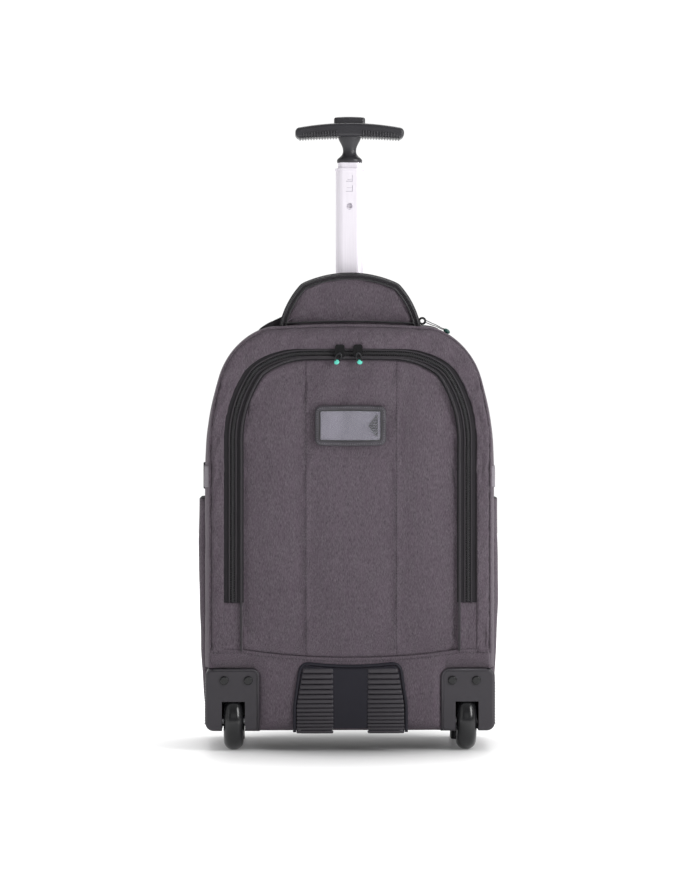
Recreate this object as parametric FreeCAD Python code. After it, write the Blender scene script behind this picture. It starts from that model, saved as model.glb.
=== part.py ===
"""Wheeled laptop case with a single-pole telescopic handle, one STEP file for each piece.

Frame: millimetres, +Z up, +X to the right of someone facing the wheels and the handle,
-Y the face with the wheels. The origin is on the floor at the centre of the overall box.
"""
import FreeCAD, Part
import math
import os

V = FreeCAD.Vector

# ---------------------------------------------------------------- driving dimensions
# overall
case_width = 309.0            # outer width of the fabric body
case_height = 464.0           # floor to the top seam of the body
case_half_depth = 111.0       # half of the overall depth
ground_gap = 22.0             # floor to the underside of the body
clear = 0.3                   # air between pieces that move past each other

# soft walls
gusset_wall = 4.0             # padded side band
panel_wall = 4.0              # padded flat panels
board_wall = 3.0              # stiffening boards
belly_round = 14.0            # lower front edge of the body
seam_inset = 4.0              # front panel edge, in from the body outline

# depth layout, all measured from the wheel face backwards
pull_stand_off = 6.5          # outermost zip pull to the outer face of the front panel
flap_thickness = 8.0
pocket_depth = 19.0           # front pocket, between the flap and its back wall
trolley_bay = 36.0            # room for the handle tubes
laptop_bay = 28.0             # sleeve between the board and the padded divider
divider_thickness = 6.0
lid_thickness = 8.0
far_pocket_depth = 32.0

# front pocket opening, its zip and its panel
opening_half_width = 127.0
opening_bottom = 113.0
opening_top_drop = 32.5       # top seam down to the zip line
tape_width = 8.0
tape_thickness = 1.0

# telescopic handle
outer_tube = (35.0, 27.0, 1.5)     # width, depth, wall
stage_1 = (30.2, 22.0, 1.3)
stage_2 = (25.6, 17.6, 1.2)
outer_tube_bottom = 42.0
stage_1_top = 634.0
stage_1_length = 400.0
stage_2_show = 6.4            # bare stage 2 tube between the collar and the grip neck
stage_2_length = 306.0
tube_corner = 8.0             # outer corner radius of stage 1
collar_height = 2.0
lock_hole_drop = 41.0         # stage 1 top down to its locking hole
lock_pin_radius = 2.6

# T grip
grip_width = 119.0
grip_depth = 24.0
grip_thickness = 15.0
grip_tip_thickness = 11.5
grip_edge = 3.5
grip_arch = 2.3               # rise of the grip's underside
neck_height = 28.0
neck_waist = 15.0
neck_foot = 26.5
neck_head = 24.0
button_size = (34.0, 13.0)    # width, depth
button_show = 6.5             # how far the button stands above the grip
button_travel = 4.0
button_skirt = 9.0            # part of the button inside the grip
rod_radius = 1.5

# wheels and their housings
wheel_radius = 32.0
wheel_width = 21.5
wheel_inset = 28.0            # wheel centre in from the body side
hub_radius = 22.0
axle_radius = 4.0
axle_seat = 8.0               # axle end held in the housing on each side of the slot
tyre_round = 9.5
axle_fit = 0.06               # radial clearance of the hub on its axle
housing_width = 59.0
housing_height = 68.0
housing_round = 9.0
slot_width = 25.0
slot_gap = 2.0                # wheel to the roof of its slot
slot_back_wall = 1.0          # housing left behind the slot
wheel_stand_out = 6.0         # wheel in front of the housing face
rivet_radius = 4.75
rivet_pitch = 26.0
rivet_height = 2.2

# scuff plate
skid_top_half = 52.0
skid_foot_half = 61.0
skid_top_z = 95.0
skid_centre_half = 18.5
skid_thickness = 3.0
rib_pitch = 5.8
rib_height = 2.2
piping_radius = 1.8

# hood over the stowed grip
hood_shoulder = 79.5          # hood edge in from the body side
hood_height = 57.0
hood_thickness = 7.0
hood_tape_width = 7.5

# identity card holder
holder_size = (76.7, 44.3)
holder_centre_drop = 111.5    # top seam down to the holder's centre
holder_frame = 6.0
holder_thickness = 2.4
holder_corner = 6.0

# side pockets, straps, carry handle, feet
side_pocket_bulge = 8.5
side_pocket_wall = 2.0
side_pocket_drop = 192.0      # top seam down to the pocket's mouth
side_pocket_lead = 7.0        # wheel housing to the pocket
side_pocket_trail = 5.5       # pocket to the lid
strap_drop = 166.5            # top seam down to the strap's middle
strap_width = 25.0
strap_thickness = 2.2
buckle_size = (36.0, 30.0, 6.0)
carry_width = 126.0
carry_rise = 30.0
carry_strap = (26.0, 7.0)     # width, thickness
foot_size = (20.0, 34.0)
foot_inset = wheel_inset      # feet stand in line with the wheels

# ---------------------------------------------------------------- worked-out places
half_width = case_width / 2
flap_face = -case_half_depth + pull_stand_off
flap_back = flap_face + flap_thickness
frame_face = flap_face + 3.0
front_wall_face = flap_back + pocket_depth
bay_front = front_wall_face + panel_wall
board_face = bay_front + trolley_bay
board_back = board_face + board_wall
lid_outer = case_half_depth - far_pocket_depth
lid_inner = lid_outer - lid_thickness
tube_y = (bay_front + board_face) / 2 - 1.0
housing_face = flap_face + wheel_stand_out
axle_y = housing_face - wheel_stand_out + wheel_radius
axle_z = wheel_radius
housing_back = axle_y + wheel_radius + slot_gap + slot_back_wall
wheel_track = case_width - 2 * wheel_inset
hood_half_width = half_width - hood_shoulder
side_pocket_top = case_height - side_pocket_drop
strap_z = case_height - strap_drop
opening_top = case_height - opening_top_drop
floor_top = ground_gap + panel_wall
nodes = {}


# ---------------------------------------------------------------- helpers
def box(x0, x1, y0, y1, z0, z1):
    """Box between two corners."""
    return Part.makeBox(x1 - x0, y1 - y0, z1 - z0, V(x0, y0, z0))


def arc(a, b, c):
    """Edge on the circle through three (x, z) points of the plane y = 0."""
    return Part.Arc(V(a[0], 0, a[1]), V(b[0], 0, b[1]), V(c[0], 0, c[1])).toShape()


def line(a, b):
    """Straight edge between two (x, z) points."""
    return Part.LineSegment(V(a[0], 0, a[1]), V(b[0], 0, b[1])).toShape()


def flip(points):
    """The same points on the other side, in reverse order."""
    return [(-x, z) for x, z in reversed(points)]


def slab(wire, y0, y1):
    """Solid between two depths whose front view is the wire."""
    face = Part.Face(wire)
    solid = face.extrude(V(0, y1 - y0, 0))
    solid.translate(V(0, y0, 0))
    return solid


def grow(wire, distance):
    """Wire moved outwards, or inwards with a negative distance."""
    return wire if distance == 0 else wire.makeOffset2D(distance)


def closed_wire(edges):
    return Part.Wire(Part.__sortEdges__(edges))


def rounded(shape, radius, pick):
    """Fillet the edges that pick() chooses."""
    return shape.makeFillet(radius, [e for e in shape.Edges if pick(e)])


def along(edge, axis):
    """True where a straight edge runs along axis 0, 1 or 2."""
    if len(edge.Vertexes) < 2:
        return False
    step = edge.Vertexes[-1].Point - edge.Vertexes[0].Point
    return step.Length > 0 and abs(abs(step[axis]) - step.Length) < 1e-6


def bottom_front(edge):
    """True for the edge along X at the lower front of a box near the body's foot."""
    start = edge.Vertexes[0].Point
    return along(edge, 0) and start.z < ground_gap + panel_wall + 1 and start.y < front_wall_face - 5


def mirrored(shape):
    return shape.mirror(V(0, 0, 0), V(1, 0, 0))


def body_wire(inset, base_z):
    """Front outline of the body: straight sides, round shoulders, a slightly arched top."""
    w, h = half_width, case_height
    base = base_z - inset
    side = [(w, h - 154), (w - 3, h - 99), (w - 10.5, h - 64)]
    shoulder = [side[2], (w - 26.5, h - 30), (w - 64.5, h - 3.5)]
    edges = [line((-w, base), (w, base)), line((w, base), side[0])]
    edges += [arc(*side), arc(*shoulder), arc(shoulder[2], (0, h), flip(shoulder)[0])]
    edges += [arc(*flip(shoulder)), arc(*flip(side)), line((-w, side[0][1]), (-w, base))]
    return grow(closed_wire(edges), -inset)


def opening_wire(inset, base_z):
    """Front outline of the zipped opening, a tall arch with tight upper corners."""
    w, h = opening_half_width, opening_top
    base = base_z - inset
    side = [(w, h - 101.5), (w - 6, h - 54.5), (w - 24, h - 18.5)]
    corner = [side[2], (w - 44, h - 7), (w - 77, h - 0.5)]
    edges = [line((-w, base), (w, base)), line((w, base), side[0])]
    edges += [arc(*side), arc(*corner), line(corner[2], (-corner[2][0], corner[2][1]))]
    edges += [arc(*flip(corner)), arc(*flip(side)), line((-w, side[0][1]), (-w, base))]
    return grow(closed_wire(edges), -inset)


def round_bar(width, depth, radius, z0, z1, y=0.0):
    """Upright bar with a rounded rectangular section."""
    bar = box(-width / 2, width / 2, y - depth / 2, y + depth / 2, z0, z1)
    return rounded(bar, radius, lambda e: along(e, 2))


def tube(section, z0, z1, corner):
    """Upright rounded rectangular tube, given (width, depth, wall)."""
    width, depth, wall = section
    outside = round_bar(width, depth, corner, z0, z1, tube_y)
    inside = round_bar(width - 2 * wall, depth - 2 * wall, corner - wall, z0 - 1, z1 + 1, tube_y)
    return outside.cut(inside)


# ---------------------------------------------------------------- body shell
def housing_room(side):
    """Block that the wheel housing fills at one lower corner."""
    x0, x1 = sorted((side * (half_width + 20), side * (half_width + 2.5 - housing_width)))
    return box(x0, x1, housing_face - 20, housing_back, -1, ground_gap + housing_height)


def clear_of_housings(shape):
    return shape.cut(housing_room(-1)).cut(housing_room(1))


def make_shell():
    """Side band, boards, bottom tray and the walls of the front pocket."""
    outer = slab(body_wire(0, floor_top), bay_front - panel_wall, lid_inner)
    inner = slab(body_wire(gusset_wall, floor_top - gusset_wall - 1), bay_front - panel_wall - 1,
                 lid_inner + 1)
    band = clear_of_housings(outer.cut(inner))
    tube_hole = box(-outer_tube[0] / 2 - clear, outer_tube[0] / 2 + clear,
                    tube_y - outer_tube[1] / 2 - clear, tube_y + outer_tube[1] / 2 + clear,
                    case_height - 20, case_height + 5)
    nodes["main_gusset"] = band.cut(tube_hole)

    tray = box(-half_width, half_width, bay_front - panel_wall, lid_inner, ground_gap, floor_top)
    tray = tray.fuse(box(-half_width + gusset_wall, half_width - gusset_wall,
                         lid_inner - panel_wall, lid_inner, floor_top, floor_top + 12))
    nodes["base_tray"] = clear_of_housings(tray.removeSplitter())

    wall = slab(body_wire(gusset_wall, floor_top), front_wall_face, bay_front)
    nodes["front_wall"] = clear_of_housings(wall)
    nodes["back_board"] = clear_of_housings(slab(body_wire(gusset_wall, floor_top), board_face, board_back))
    divider = slab(body_wire(gusset_wall + clear, floor_top), board_back + laptop_bay,
                   board_back + laptop_bay + divider_thickness)
    nodes["laptop_divider"] = divider.common(box(-400, 400, -400, 400, 0, case_height - 120))


def make_front():
    """Front pocket: gusset, face with the arched opening, zip tape and the lower band."""
    ring = slab(body_wire(seam_inset, opening_bottom - panel_wall),
                frame_face + panel_wall, front_wall_face)
    hollow = slab(body_wire(seam_inset + panel_wall, opening_bottom),
                  frame_face, front_wall_face + 1)
    nodes["front_pocket_gusset"] = ring.cut(hollow)
    face = slab(body_wire(seam_inset, opening_bottom - panel_wall),
                frame_face, frame_face + panel_wall)
    hole = slab(opening_wire(0, opening_bottom), frame_face - 1, frame_face + panel_wall + 1)
    nodes["front_frame"] = face.cut(hole)
    tape = slab(opening_wire(-tape_width, opening_bottom), frame_face - tape_thickness, frame_face)
    tape = tape.cut(slab(opening_wire(0, opening_bottom - tape_width - 1), frame_face - 5, frame_face + 1))
    nodes["front_zip_outer_tape"] = tape.common(box(-400, 400, -400, 400, opening_bottom + 46, 900))
    band = box(-half_width + seam_inset, half_width - seam_inset, frame_face + 1, front_wall_face,
               ground_gap, opening_bottom - panel_wall)
    inside = half_width - seam_inset - panel_wall
    core = box(-inside, inside, frame_face + 1 + panel_wall, front_wall_face + 1,
               ground_gap + panel_wall, opening_bottom)
    band = rounded(band, belly_round, bottom_front)
    core = rounded(core, belly_round - panel_wall, bottom_front)
    nodes["lower_band"] = clear_of_housings(band.cut(core))


def make_flap():
    """Padded front panel that the zip frees, with its tape and the identity card holder."""
    gap = clear + 0.1
    panel = slab(opening_wire(gap, opening_bottom + gap), flap_face, flap_back)
    soft = [e for e in panel.Edges
            if e.BoundBox.YMax < flap_face + 0.01 and e.BoundBox.ZMax > opening_bottom + 5]
    nodes["front_flap"] = panel.makeFillet(2.5, soft)
    tape = slab(opening_wire(gap + 3.0, opening_bottom), flap_face - tape_thickness, flap_face)
    tape = tape.cut(slab(opening_wire(gap + tape_width, opening_bottom - tape_width - 1),
                         flap_face - 5, flap_face + 1))
    nodes["front_zip_inner_tape"] = tape.common(box(-400, 400, -400, 400, opening_bottom + 46, 900))

    width, height = holder_size
    middle = case_height - holder_centre_drop
    back = flap_face

    def plate(inset, y0, y1):
        solid = box(-width / 2 + inset, width / 2 - inset, y0, y1,
                    middle - height / 2 + inset, middle + height / 2 - inset)
        return rounded(solid, max(holder_corner - inset, 1.5), lambda e: along(e, 1))

    card_back = back - 1.0
    frame = plate(0, back - holder_thickness, back).cut(plate(holder_frame, back - 9, card_back))
    slot_top = middle + height / 2 - holder_frame
    slot = box(-width / 2 + holder_frame - clear, width, card_back - 1.1, card_back,
               middle - height / 2 + holder_frame - clear, slot_top + clear)
    nodes["id_holder_frame"] = frame.cut(slot)
    nodes["id_window"] = plate(holder_frame + clear, back - holder_thickness, back - holder_thickness + 0.3)
    card = box(-width / 2 + holder_frame, width / 2 - 2.0, card_back - 0.8, card_back - 0.1,
               middle - height / 2 + holder_frame, slot_top)
    nodes["id_card"] = card


# ---------------------------------------------------------------- zip sliders and pulls
def slider(x, y, z, turned=1):
    """Zip slider seen from its face: a small shield with a bail for the pull."""
    shield = box(x - 5, x + 5, y - turned * 2.0 - 1.2, y - turned * 2.0 + 1.2, z - 7, z + 7)
    shield = rounded(shield, 2.5, lambda e: along(e, 1))
    bail = box(x - 1.2, x + 1.2, y - turned * 3.4 - 1.3, y - turned * 3.4 + 1.3, z - 4.5, z + 4)
    return shield.fuse(bail).removeSplitter()


def pull(x, y, z):
    """Short moulded pull that hangs below the slider's bail, its pin's centre at z."""
    tab = box(x - 3.2, x + 3.2, y - 1.1, y + 1.1, z - pull_length, z - 6.8)
    tab = rounded(tab, 1.5, lambda e: along(e, 1) and e.Vertexes[0].Point.z < z - 10)
    for s in (-1, 1):
        tab = tab.fuse(box(x + s * 2.4 - 0.8, x + s * 2.4 + 0.8, y - 1.1, y + 1.1, z - 6.8, z + 0.8))
    pin = box(x - 1.6, x + 1.6, y - 1.1, y + 1.1, z - 0.8, z + 0.8)
    return tab.fuse(pin).removeSplitter()


slider_front_y = flap_face - tape_thickness + clear
slider_back_y = lid_outer - clear
pull_lead = 4.7               # slider seat to the pull's middle
pin_drop = 6.1                # slider centre down to the pull's pin
pull_length = 15.0
front_slider_x = {"left": -11.5, "right": 8.0}
main_slider_x = {"left": -9.0, "right": 9.0}
front_slider_z = opening_top + 1.5
main_slider_z = case_height - 14.0


def make_sliders():
    """Two sliders on the front pocket's zip and two on the main zip, each with its pull."""
    for side in ("left", "right"):
        x = front_slider_x[side]
        nodes["front_slider_" + side] = slider(x, slider_front_y, front_slider_z)
        nodes["front_pull_" + side] = pull(x, slider_front_y - pull_lead, front_slider_z - pin_drop)
        x = main_slider_x[side]
        nodes["main_slider_" + side] = slider(x, slider_back_y, main_slider_z, -1)
        nodes["main_pull_" + side] = pull(x, slider_back_y + pull_lead, main_slider_z - pin_drop)


# ---------------------------------------------------------------- telescopic handle
plug_height = 26.0
pin_length = 9.0


def pin_bore(room, y, z, length=60.0):
    """Cylinder along Y that a locking pin runs through."""
    return Part.makeCylinder(lock_pin_radius + room, length, V(0, y, z), V(0, 1, 0))


def lock_pin(inner_front, z):
    """Pin that points at the front wall of a tube, its nose just inside that wall."""
    return Part.makeCylinder(lock_pin_radius, pin_length, V(0, inner_front + clear, z), V(0, 1, 0))


def guide_plug(room, top, corner, well):
    """Guide shoe below a tube's foot: runs in the outer tube, hollow, bored for its pin."""
    shoe = round_bar(room[0] - 2 * clear, room[1] - 2 * clear, corner, top - plug_height, top, tube_y)
    hollow = round_bar(well[0], well[1], 2, top - plug_height - 1, top + 1, tube_y)
    return shoe.cut(hollow).cut(pin_bore(0.05, tube_y - 30, top - plug_height / 2))


def inner_size(section):
    return (section[0] - 2 * section[2], section[1] - 2 * section[2])


def make_handle():
    """Outer channel, two sliding stages, their plugs and pins, the T grip and its button."""
    outer_top = case_height
    nodes["trolley_outer_tube"] = tube(outer_tube, outer_tube_bottom, outer_top, tube_corner + 2)
    flange = round_bar(outer_tube[0] + 14, outer_tube[1] + 4, 6, case_height + 0.5, case_height + 3, tube_y)
    throat = round_bar(stage_1[0] + 2 * clear, stage_1[1] + 2 * clear, tube_corner + clear,
                       case_height - 20, case_height + 5, tube_y)
    nodes["tube_bezel"] = flange.cut(throat)
    bracket = box(-40, 40, bay_front, board_face, floor_top, outer_tube_bottom)
    nodes["tube_foot_bracket"] = rounded(bracket, 6.0, lambda e: along(e, 1) and
                                         e.Vertexes[0].Point.z > floor_top)

    one = tube(stage_1, stage_1_top - stage_1_length, stage_1_top - collar_height, tube_corner)
    hole_z = stage_1_top - lock_hole_drop
    nodes["stage_1_tube"] = one.cut(pin_bore(0.25, tube_y - stage_1[1] / 2 - 6, hole_z, 12))
    collar = tube((stage_1[0] + 1.6, stage_1[1] + 1.6, (stage_1[0] - stage_2[0]) / 2 + 0.8 - clear),
                  stage_1_top - collar_height, stage_1_top, tube_corner + 0.8)
    nodes["stage_1_collar"] = collar
    foot_1 = stage_1_top - stage_1_length
    pin_1 = foot_1 - plug_height / 2
    nodes["stage_1_plug"] = guide_plug(inner_size(outer_tube), foot_1, tube_corner - 0.5, (14, 12))
    nodes["lock_pin_lower"] = lock_pin(tube_y - inner_size(outer_tube)[1] / 2, pin_1)

    foot_2 = stage_1_top + stage_2_show - stage_2_length
    pin_2 = foot_2 - plug_height / 2
    nodes["stage_2_tube"] = tube(stage_2, foot_2, stage_1_top + stage_2_show, tube_corner - 2.3)
    nodes["stage_2_plug"] = guide_plug(inner_size(stage_1), foot_2, tube_corner - 1.6, (12, 9))
    nodes["lock_pin_upper"] = lock_pin(tube_y - inner_size(stage_1)[1] / 2, pin_2)
    return pin_2


grip_base = stage_1_top + stage_2_show + neck_height - 2.0
grip_top = grip_base + grip_arch + grip_thickness


def make_grip(pin_2):
    """T grip on its flared neck, with the release button, its spring and the push rod."""
    half, mid = grip_width / 2, grip_base + grip_arch
    low, high = (half, grip_base), (half, grip_base + grip_tip_thickness)
    edges = [arc(flip([high])[0], (0, mid + grip_thickness), high), line(high, low),
             arc(low, (0, mid), flip([low])[0]), line(flip([low])[0], flip([high])[0])]
    bar = slab(closed_wire(edges), tube_y - grip_depth / 2, tube_y + grip_depth / 2)
    bar = rounded(bar, grip_tip_thickness / 2 - 0.5, lambda e: along(e, 1))
    bar = bar.makeFillet(grip_edge, [e for e in bar.Edges if e.BoundBox.YLength < 0.01])
    width, depth = button_size
    well_floor = grip_top - button_skirt - button_travel - 1.0
    well = round_bar(width + 2 * clear, depth + 2 * clear, 4, well_floor, grip_top + 5, tube_y)
    rod_hole = Part.makeCylinder(rod_radius + clear, 100, V(0, tube_y, stage_1_top), V(0, 0, 1))
    nodes["grip_bar"] = bar.cut(well).cut(rod_hole)

    foot = stage_1_top + stage_2_show
    levels = [(0, neck_foot), (5, neck_foot - 1.5), (11, neck_waist), (16, neck_waist), (23, neck_head - 3),
              (neck_height + 1.5, neck_head + 2)]
    rings = []
    for height, size in levels:
        ring = Part.Wire(Part.Ellipse(V(0, tube_y, foot + height), size / 2, size / 2 * 0.74).toShape())
        rings.append(ring)
    neck = Part.makeLoft(rings, True, False)
    neck = neck.cut(slab(closed_wire(edges), tube_y - 40, tube_y + 40))
    nodes["grip_neck"] = neck.cut(rod_hole)

    cap = round_bar(width, depth, 4 - clear, grip_top - button_skirt, grip_top + button_show, tube_y)
    cap = cap.makeFillet(2.0, [e for e in cap.Edges if e.BoundBox.ZMin > grip_top + button_show - 0.01])
    nodes["grip_button"] = cap
    nodes["push_rod"] = Part.makeCylinder(rod_radius, grip_top - button_skirt - pin_2 - 26,
                                          V(0, tube_y, pin_2 + 26), V(0, 0, 1))
    spring_room = (grip_top - button_skirt) - well_floor
    coil = Part.makeHelix(spring_room / 3.2, spring_room - 1.0, 4.4)
    wire = Part.Wire(Part.Circle(V(4.4, 0, 0), V(0, 1, 0), 0.45).toShape())
    spring = Part.Wire(coil.Edges).makePipeShell([wire], True, True)
    spring.translate(V(0, tube_y, well_floor + 0.5))
    nodes["button_spring"] = spring
    return well_floor


# ---------------------------------------------------------------- wheels
def disc(radius, width, x):
    """Cylinder about the wheels' axis, centred on x."""
    return Part.makeCylinder(radius, width, V(x - width / 2, axle_y, axle_z), V(1, 0, 0))


def make_wheels():
    """Moulded corner housings with their slots, axles, hubs and tyres."""
    axles = []
    half = wheel_width / 2
    for side, name in ((-1, "left"), (1, "right")):
        x = side * wheel_track / 2
        outer_x = side * (half_width + 2.5)
        inner_x = side * (half_width + 2.5 - housing_width)
        x0, x1 = sorted((outer_x, inner_x))
        block = box(x0, x1, housing_face, housing_back, ground_gap, ground_gap + housing_height)
        block = rounded(block, housing_round, lambda e: along(e, 1) and not (
            abs(e.Vertexes[0].Point.x - inner_x) < 1 and e.Vertexes[0].Point.z < ground_gap + 1))
        front = [e for e in block.Edges if e.BoundBox.YMax < housing_face + 0.01]
        block = block.makeFillet(4.0, front)
        slot = box(x - slot_width / 2, x + slot_width / 2, housing_face - 20, axle_y, 0, axle_z)
        slot = slot.fuse(box(x - slot_width / 2, x + slot_width / 2, axle_y - 1,
                             axle_y + wheel_radius + slot_gap, 0, axle_z))
        roof = disc(wheel_radius + slot_gap, slot_width, x)
        block = block.cut(slot.fuse(roof))
        axle = disc(axle_radius, slot_width + 2 * axle_seat, x)
        nodes["wheel_housing_" + name] = block.cut(axle)
        axles.append(axle)

        hub = disc(hub_radius, wheel_width - 3, x)
        for face in (-1, 1):
            hub = hub.cut(disc(hub_radius - 4, 4, x + face * (half - 1.5)))
        hub = hub.fuse(disc(axle_radius + 4, wheel_width - 1, x))
        nodes["hub_" + name] = hub.cut(disc(axle_radius + axle_fit, 60, x)).removeSplitter()
        ring = disc(wheel_radius, wheel_width, x)
        rims = [e for e in ring.Edges if abs(e.BoundBox.YLength - 2 * wheel_radius) < 1e-3]
        nodes["tyre_" + name] = ring.makeFillet(tyre_round, rims).cut(disc(hub_radius, 60, x))
    nodes["wheel_axles"] = Part.makeCompound(axles)

    rivets = []
    for side in (-1, 1):
        middle = side * (half_width + 2.5 - housing_width / 2 - 4)
        for step in (-1, 1):
            head = Part.makeCylinder(rivet_radius, rivet_height, V(
                middle + step * rivet_pitch / 2, housing_face - rivet_height,
                ground_gap + housing_height - 13), V(0, 1, 0))
            crown = [e for e in head.Edges if e.BoundBox.YMax < housing_face - rivet_height + 0.01]
            rivets.append(head.makeFillet(rivet_height * 0.6, crown))
    nodes["rivets"] = Part.makeCompound(rivets)


# ---------------------------------------------------------------- scuff plate
def skid_wire(inset):
    """Front outline of the scuff plate: narrow top with a sagging edge, wider foot."""
    top, foot, lean = skid_top_z, ground_gap, 7.0
    edges = [line((-skid_foot_half, foot), (skid_foot_half, foot)),
             line((skid_foot_half, foot), (skid_foot_half, foot + 30)),
             line((skid_foot_half, foot + 30), (skid_top_half + 3, top - lean)),
             arc((skid_top_half + 3, top - lean), (skid_top_half, top), (skid_top_half - 6, top + 1.2)),
             arc((skid_top_half - 6, top + 1.2), (0, top - 2), (6 - skid_top_half, top + 1.2)),
             arc((6 - skid_top_half, top + 1.2), (-skid_top_half, top), (-skid_top_half - 3, top - lean)),
             line((-skid_top_half - 3, top - lean), (-skid_foot_half, foot + 30)),
             line((-skid_foot_half, foot + 30), (-skid_foot_half, foot))]
    return grow(closed_wire(edges), -inset)


def make_skid():
    """Moulded scuff plate, its two ribbed pads and its edge piping."""
    back = frame_face + 1
    face = back - skid_thickness
    edge = 2 * piping_radius
    nodes["skid_plate"] = slab(skid_wire(edge), face, back)
    rim = slab(skid_wire(0), face - 0.6, back).cut(slab(skid_wire(edge), face - 5, back + 5))
    nodes["skid_piping"] = rim
    rail = slab(skid_wire(edge + 1.0), face - rib_height, face)
    ribs = []
    count = int((skid_top_z - ground_gap - 12) / rib_pitch)
    for side in (-1, 1):
        x0, x1 = sorted((side * skid_centre_half, side * 90))
        pad = rail.common(box(x0, x1, face - 0.8, face + 1, 0, 300))
        for k in range(count):
            z = ground_gap + 5 + k * rib_pitch
            bar = rail.common(box(x0, x1, face - rib_height, face, z, z + rib_pitch * 0.55))
            pad = pad.fuse(bar)
        ribs.append(pad.removeSplitter())
    nodes["skid_ribs"] = Part.makeCompound([r.Solids[0] for r in ribs])


# ---------------------------------------------------------------- hood
hood_pull_angle = math.radians(29)
hood_pull_length = 24.0
hood_y = front_wall_face - hood_thickness - 0.5 - clear
hood_base = case_height - seam_inset + 2 * clear


def hood_wire(inset, base_drop=0.0):
    """Half-moon outline of the hood."""
    w, b = hood_half_width, hood_base - inset - base_drop
    apex = hood_base + hood_height
    side = [(w, b), (w - 5.5, hood_base + 18), (w - 24, apex - 12)]
    edges = [line((-w, b), (w, b)), arc(*side), arc(side[2], (0, apex), flip(side)[0]), arc(*flip(side))]
    return grow(closed_wire(edges), -inset)


def make_hood():
    """Half-moon hood panel in front of the grip's place, its zip tape, slider and rear tape."""
    nodes["hood_panel"] = slab(hood_wire(hood_tape_width + 0.1), hood_y, hood_y + hood_thickness - 1)
    band = slab(hood_wire(0), hood_y - 0.5, hood_y + hood_thickness)
    nodes["hood_zip_tape"] = band.cut(slab(hood_wire(hood_tape_width, 1), hood_y - 5, hood_y + 20))
    x, z = hood_half_width + 3.6, hood_base + 6.0
    ring = Part.makeTorus(3.2, 1.2, V(x, hood_y + 3, z), V(0, 1, 0))
    lug = box(hood_half_width - 1.0, x - 2.6, hood_y + 1.6, hood_y + 4.4, z - 1.6, z + 1.6)
    nodes["hood_slider"] = ring.fuse(lug).cut(band)
    step = V(math.cos(hood_pull_angle), 0, -math.sin(hood_pull_angle))
    side = V(-step.z, 0, step.x)
    start = V(x, hood_y - 2.0, z) + step * 6.0
    strands = []
    for s in (-1, 1):
        strands.append(Part.makeCylinder(0.9, hood_pull_length - 12, start + side * (s * 1.1), step))
    tip = Part.makeCylinder(2.2, 13.0, start + step * (hood_pull_length - 13.0), step)
    head = Part.makeCylinder(2.2, 3.0, start - step * 0.5, step)
    nodes["hood_pull"] = strands[0].fuse(strands[1]).fuse(tip).fuse(head).removeSplitter()
    band = box(-hood_half_width - 12, hood_half_width + 12, board_back + 2, board_back + 14,
               case_height - 30, case_height + 30)
    roof = slab(body_wire(-1.2, floor_top), -400, 400).cut(slab(body_wire(0, floor_top - 5), -401, 401))
    nodes["hood_rear_tape"] = roof.common(band)


# ---------------------------------------------------------------- sides, top and foot
def make_sides():
    """Bowed bottle pockets, webbing straps with their buckles, carry handle and rear feet."""
    pockets, straps, buckles = [], [], []
    y0, y1 = housing_back + side_pocket_lead, lid_inner - side_pocket_trail
    w, low, top = half_width, floor_top + 6, side_pocket_top
    bow = [(w, low), (w + side_pocket_bulge, low + 115), (w + side_pocket_bulge - 2, top)]
    outer = slab(closed_wire([arc(*bow), line(bow[2], (w, top)), line((w, top), bow[0])]), y0, y1)
    t = side_pocket_wall
    core = [(w - 1, low + 3 * t), (bow[1][0] - t, low + 115), (bow[2][0] - t, top + 1)]
    inner = slab(closed_wire([arc(*core), line(core[2], (w - 1, top + 1)), line((w - 1, top + 1), core[0])]),
                 y0 + t, y1 - t)
    pocket = outer.cut(inner)
    strap = box(w, w + strap_thickness, board_face, lid_inner - 2,
                strap_z - strap_width / 2, strap_z + strap_width / 2)
    length, height, depth = buckle_size
    middle = (board_face + lid_inner) / 2
    buckle = box(w + strap_thickness, w + depth, middle - length / 2, middle + length / 2,
                 strap_z - height / 2, strap_z + height / 2)
    buckle = rounded(buckle, 3.0, lambda e: along(e, 0))
    for group, shape in ((pockets, pocket), (straps, strap), (buckles, buckle)):
        group += [mirrored(shape), shape]
    nodes["side_pockets"] = Part.makeCompound(pockets)
    nodes["side_straps"] = Part.makeCompound(straps)
    nodes["strap_buckles"] = Part.makeCompound(buckles)

    width, thick = carry_strap
    y = board_back + 32
    half = carry_width / 2
    rise = case_height + carry_rise
    root = case_height - 2.5
    up = [(half, root), (half - 8, rise - 8), (half - 26, rise)]
    low_up = [(half - thick, root), (half - thick - 5, rise - thick - 6), (half - 28, rise - thick)]
    edges = [arc(*up), line(up[2], flip(up)[0]), arc(*flip(up)), line(flip(up)[2], flip(low_up)[2]),
             arc(*low_up), line(low_up[2], flip(low_up)[0]), arc(*flip(low_up)), line(low_up[0], up[0])]
    strip = slab(closed_wire(edges), y - width / 2, y + width / 2)
    nodes["grab_handle"] = strip.cut(slab(body_wire(0, floor_top), -400, 400))

    feet = []
    for s in (-1, 1):
        x = s * (half_width - foot_inset)
        foot = box(x - foot_size[0] / 2, x + foot_size[0] / 2, lid_inner - foot_size[1] - 6, lid_inner - 6,
                   0, ground_gap)
        feet.append(rounded(foot, 5.0, lambda e: along(e, 2)))
    nodes["rear_feet"] = Part.makeCompound(feet)


# ---------------------------------------------------------------- far side
lid_base = ground_gap + 18.0
far_pocket_half = 118.0
far_pocket_base = lid_base + 24.0
far_pocket_top = case_height - 134.0
far_pocket_wall = 2.5


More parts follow.
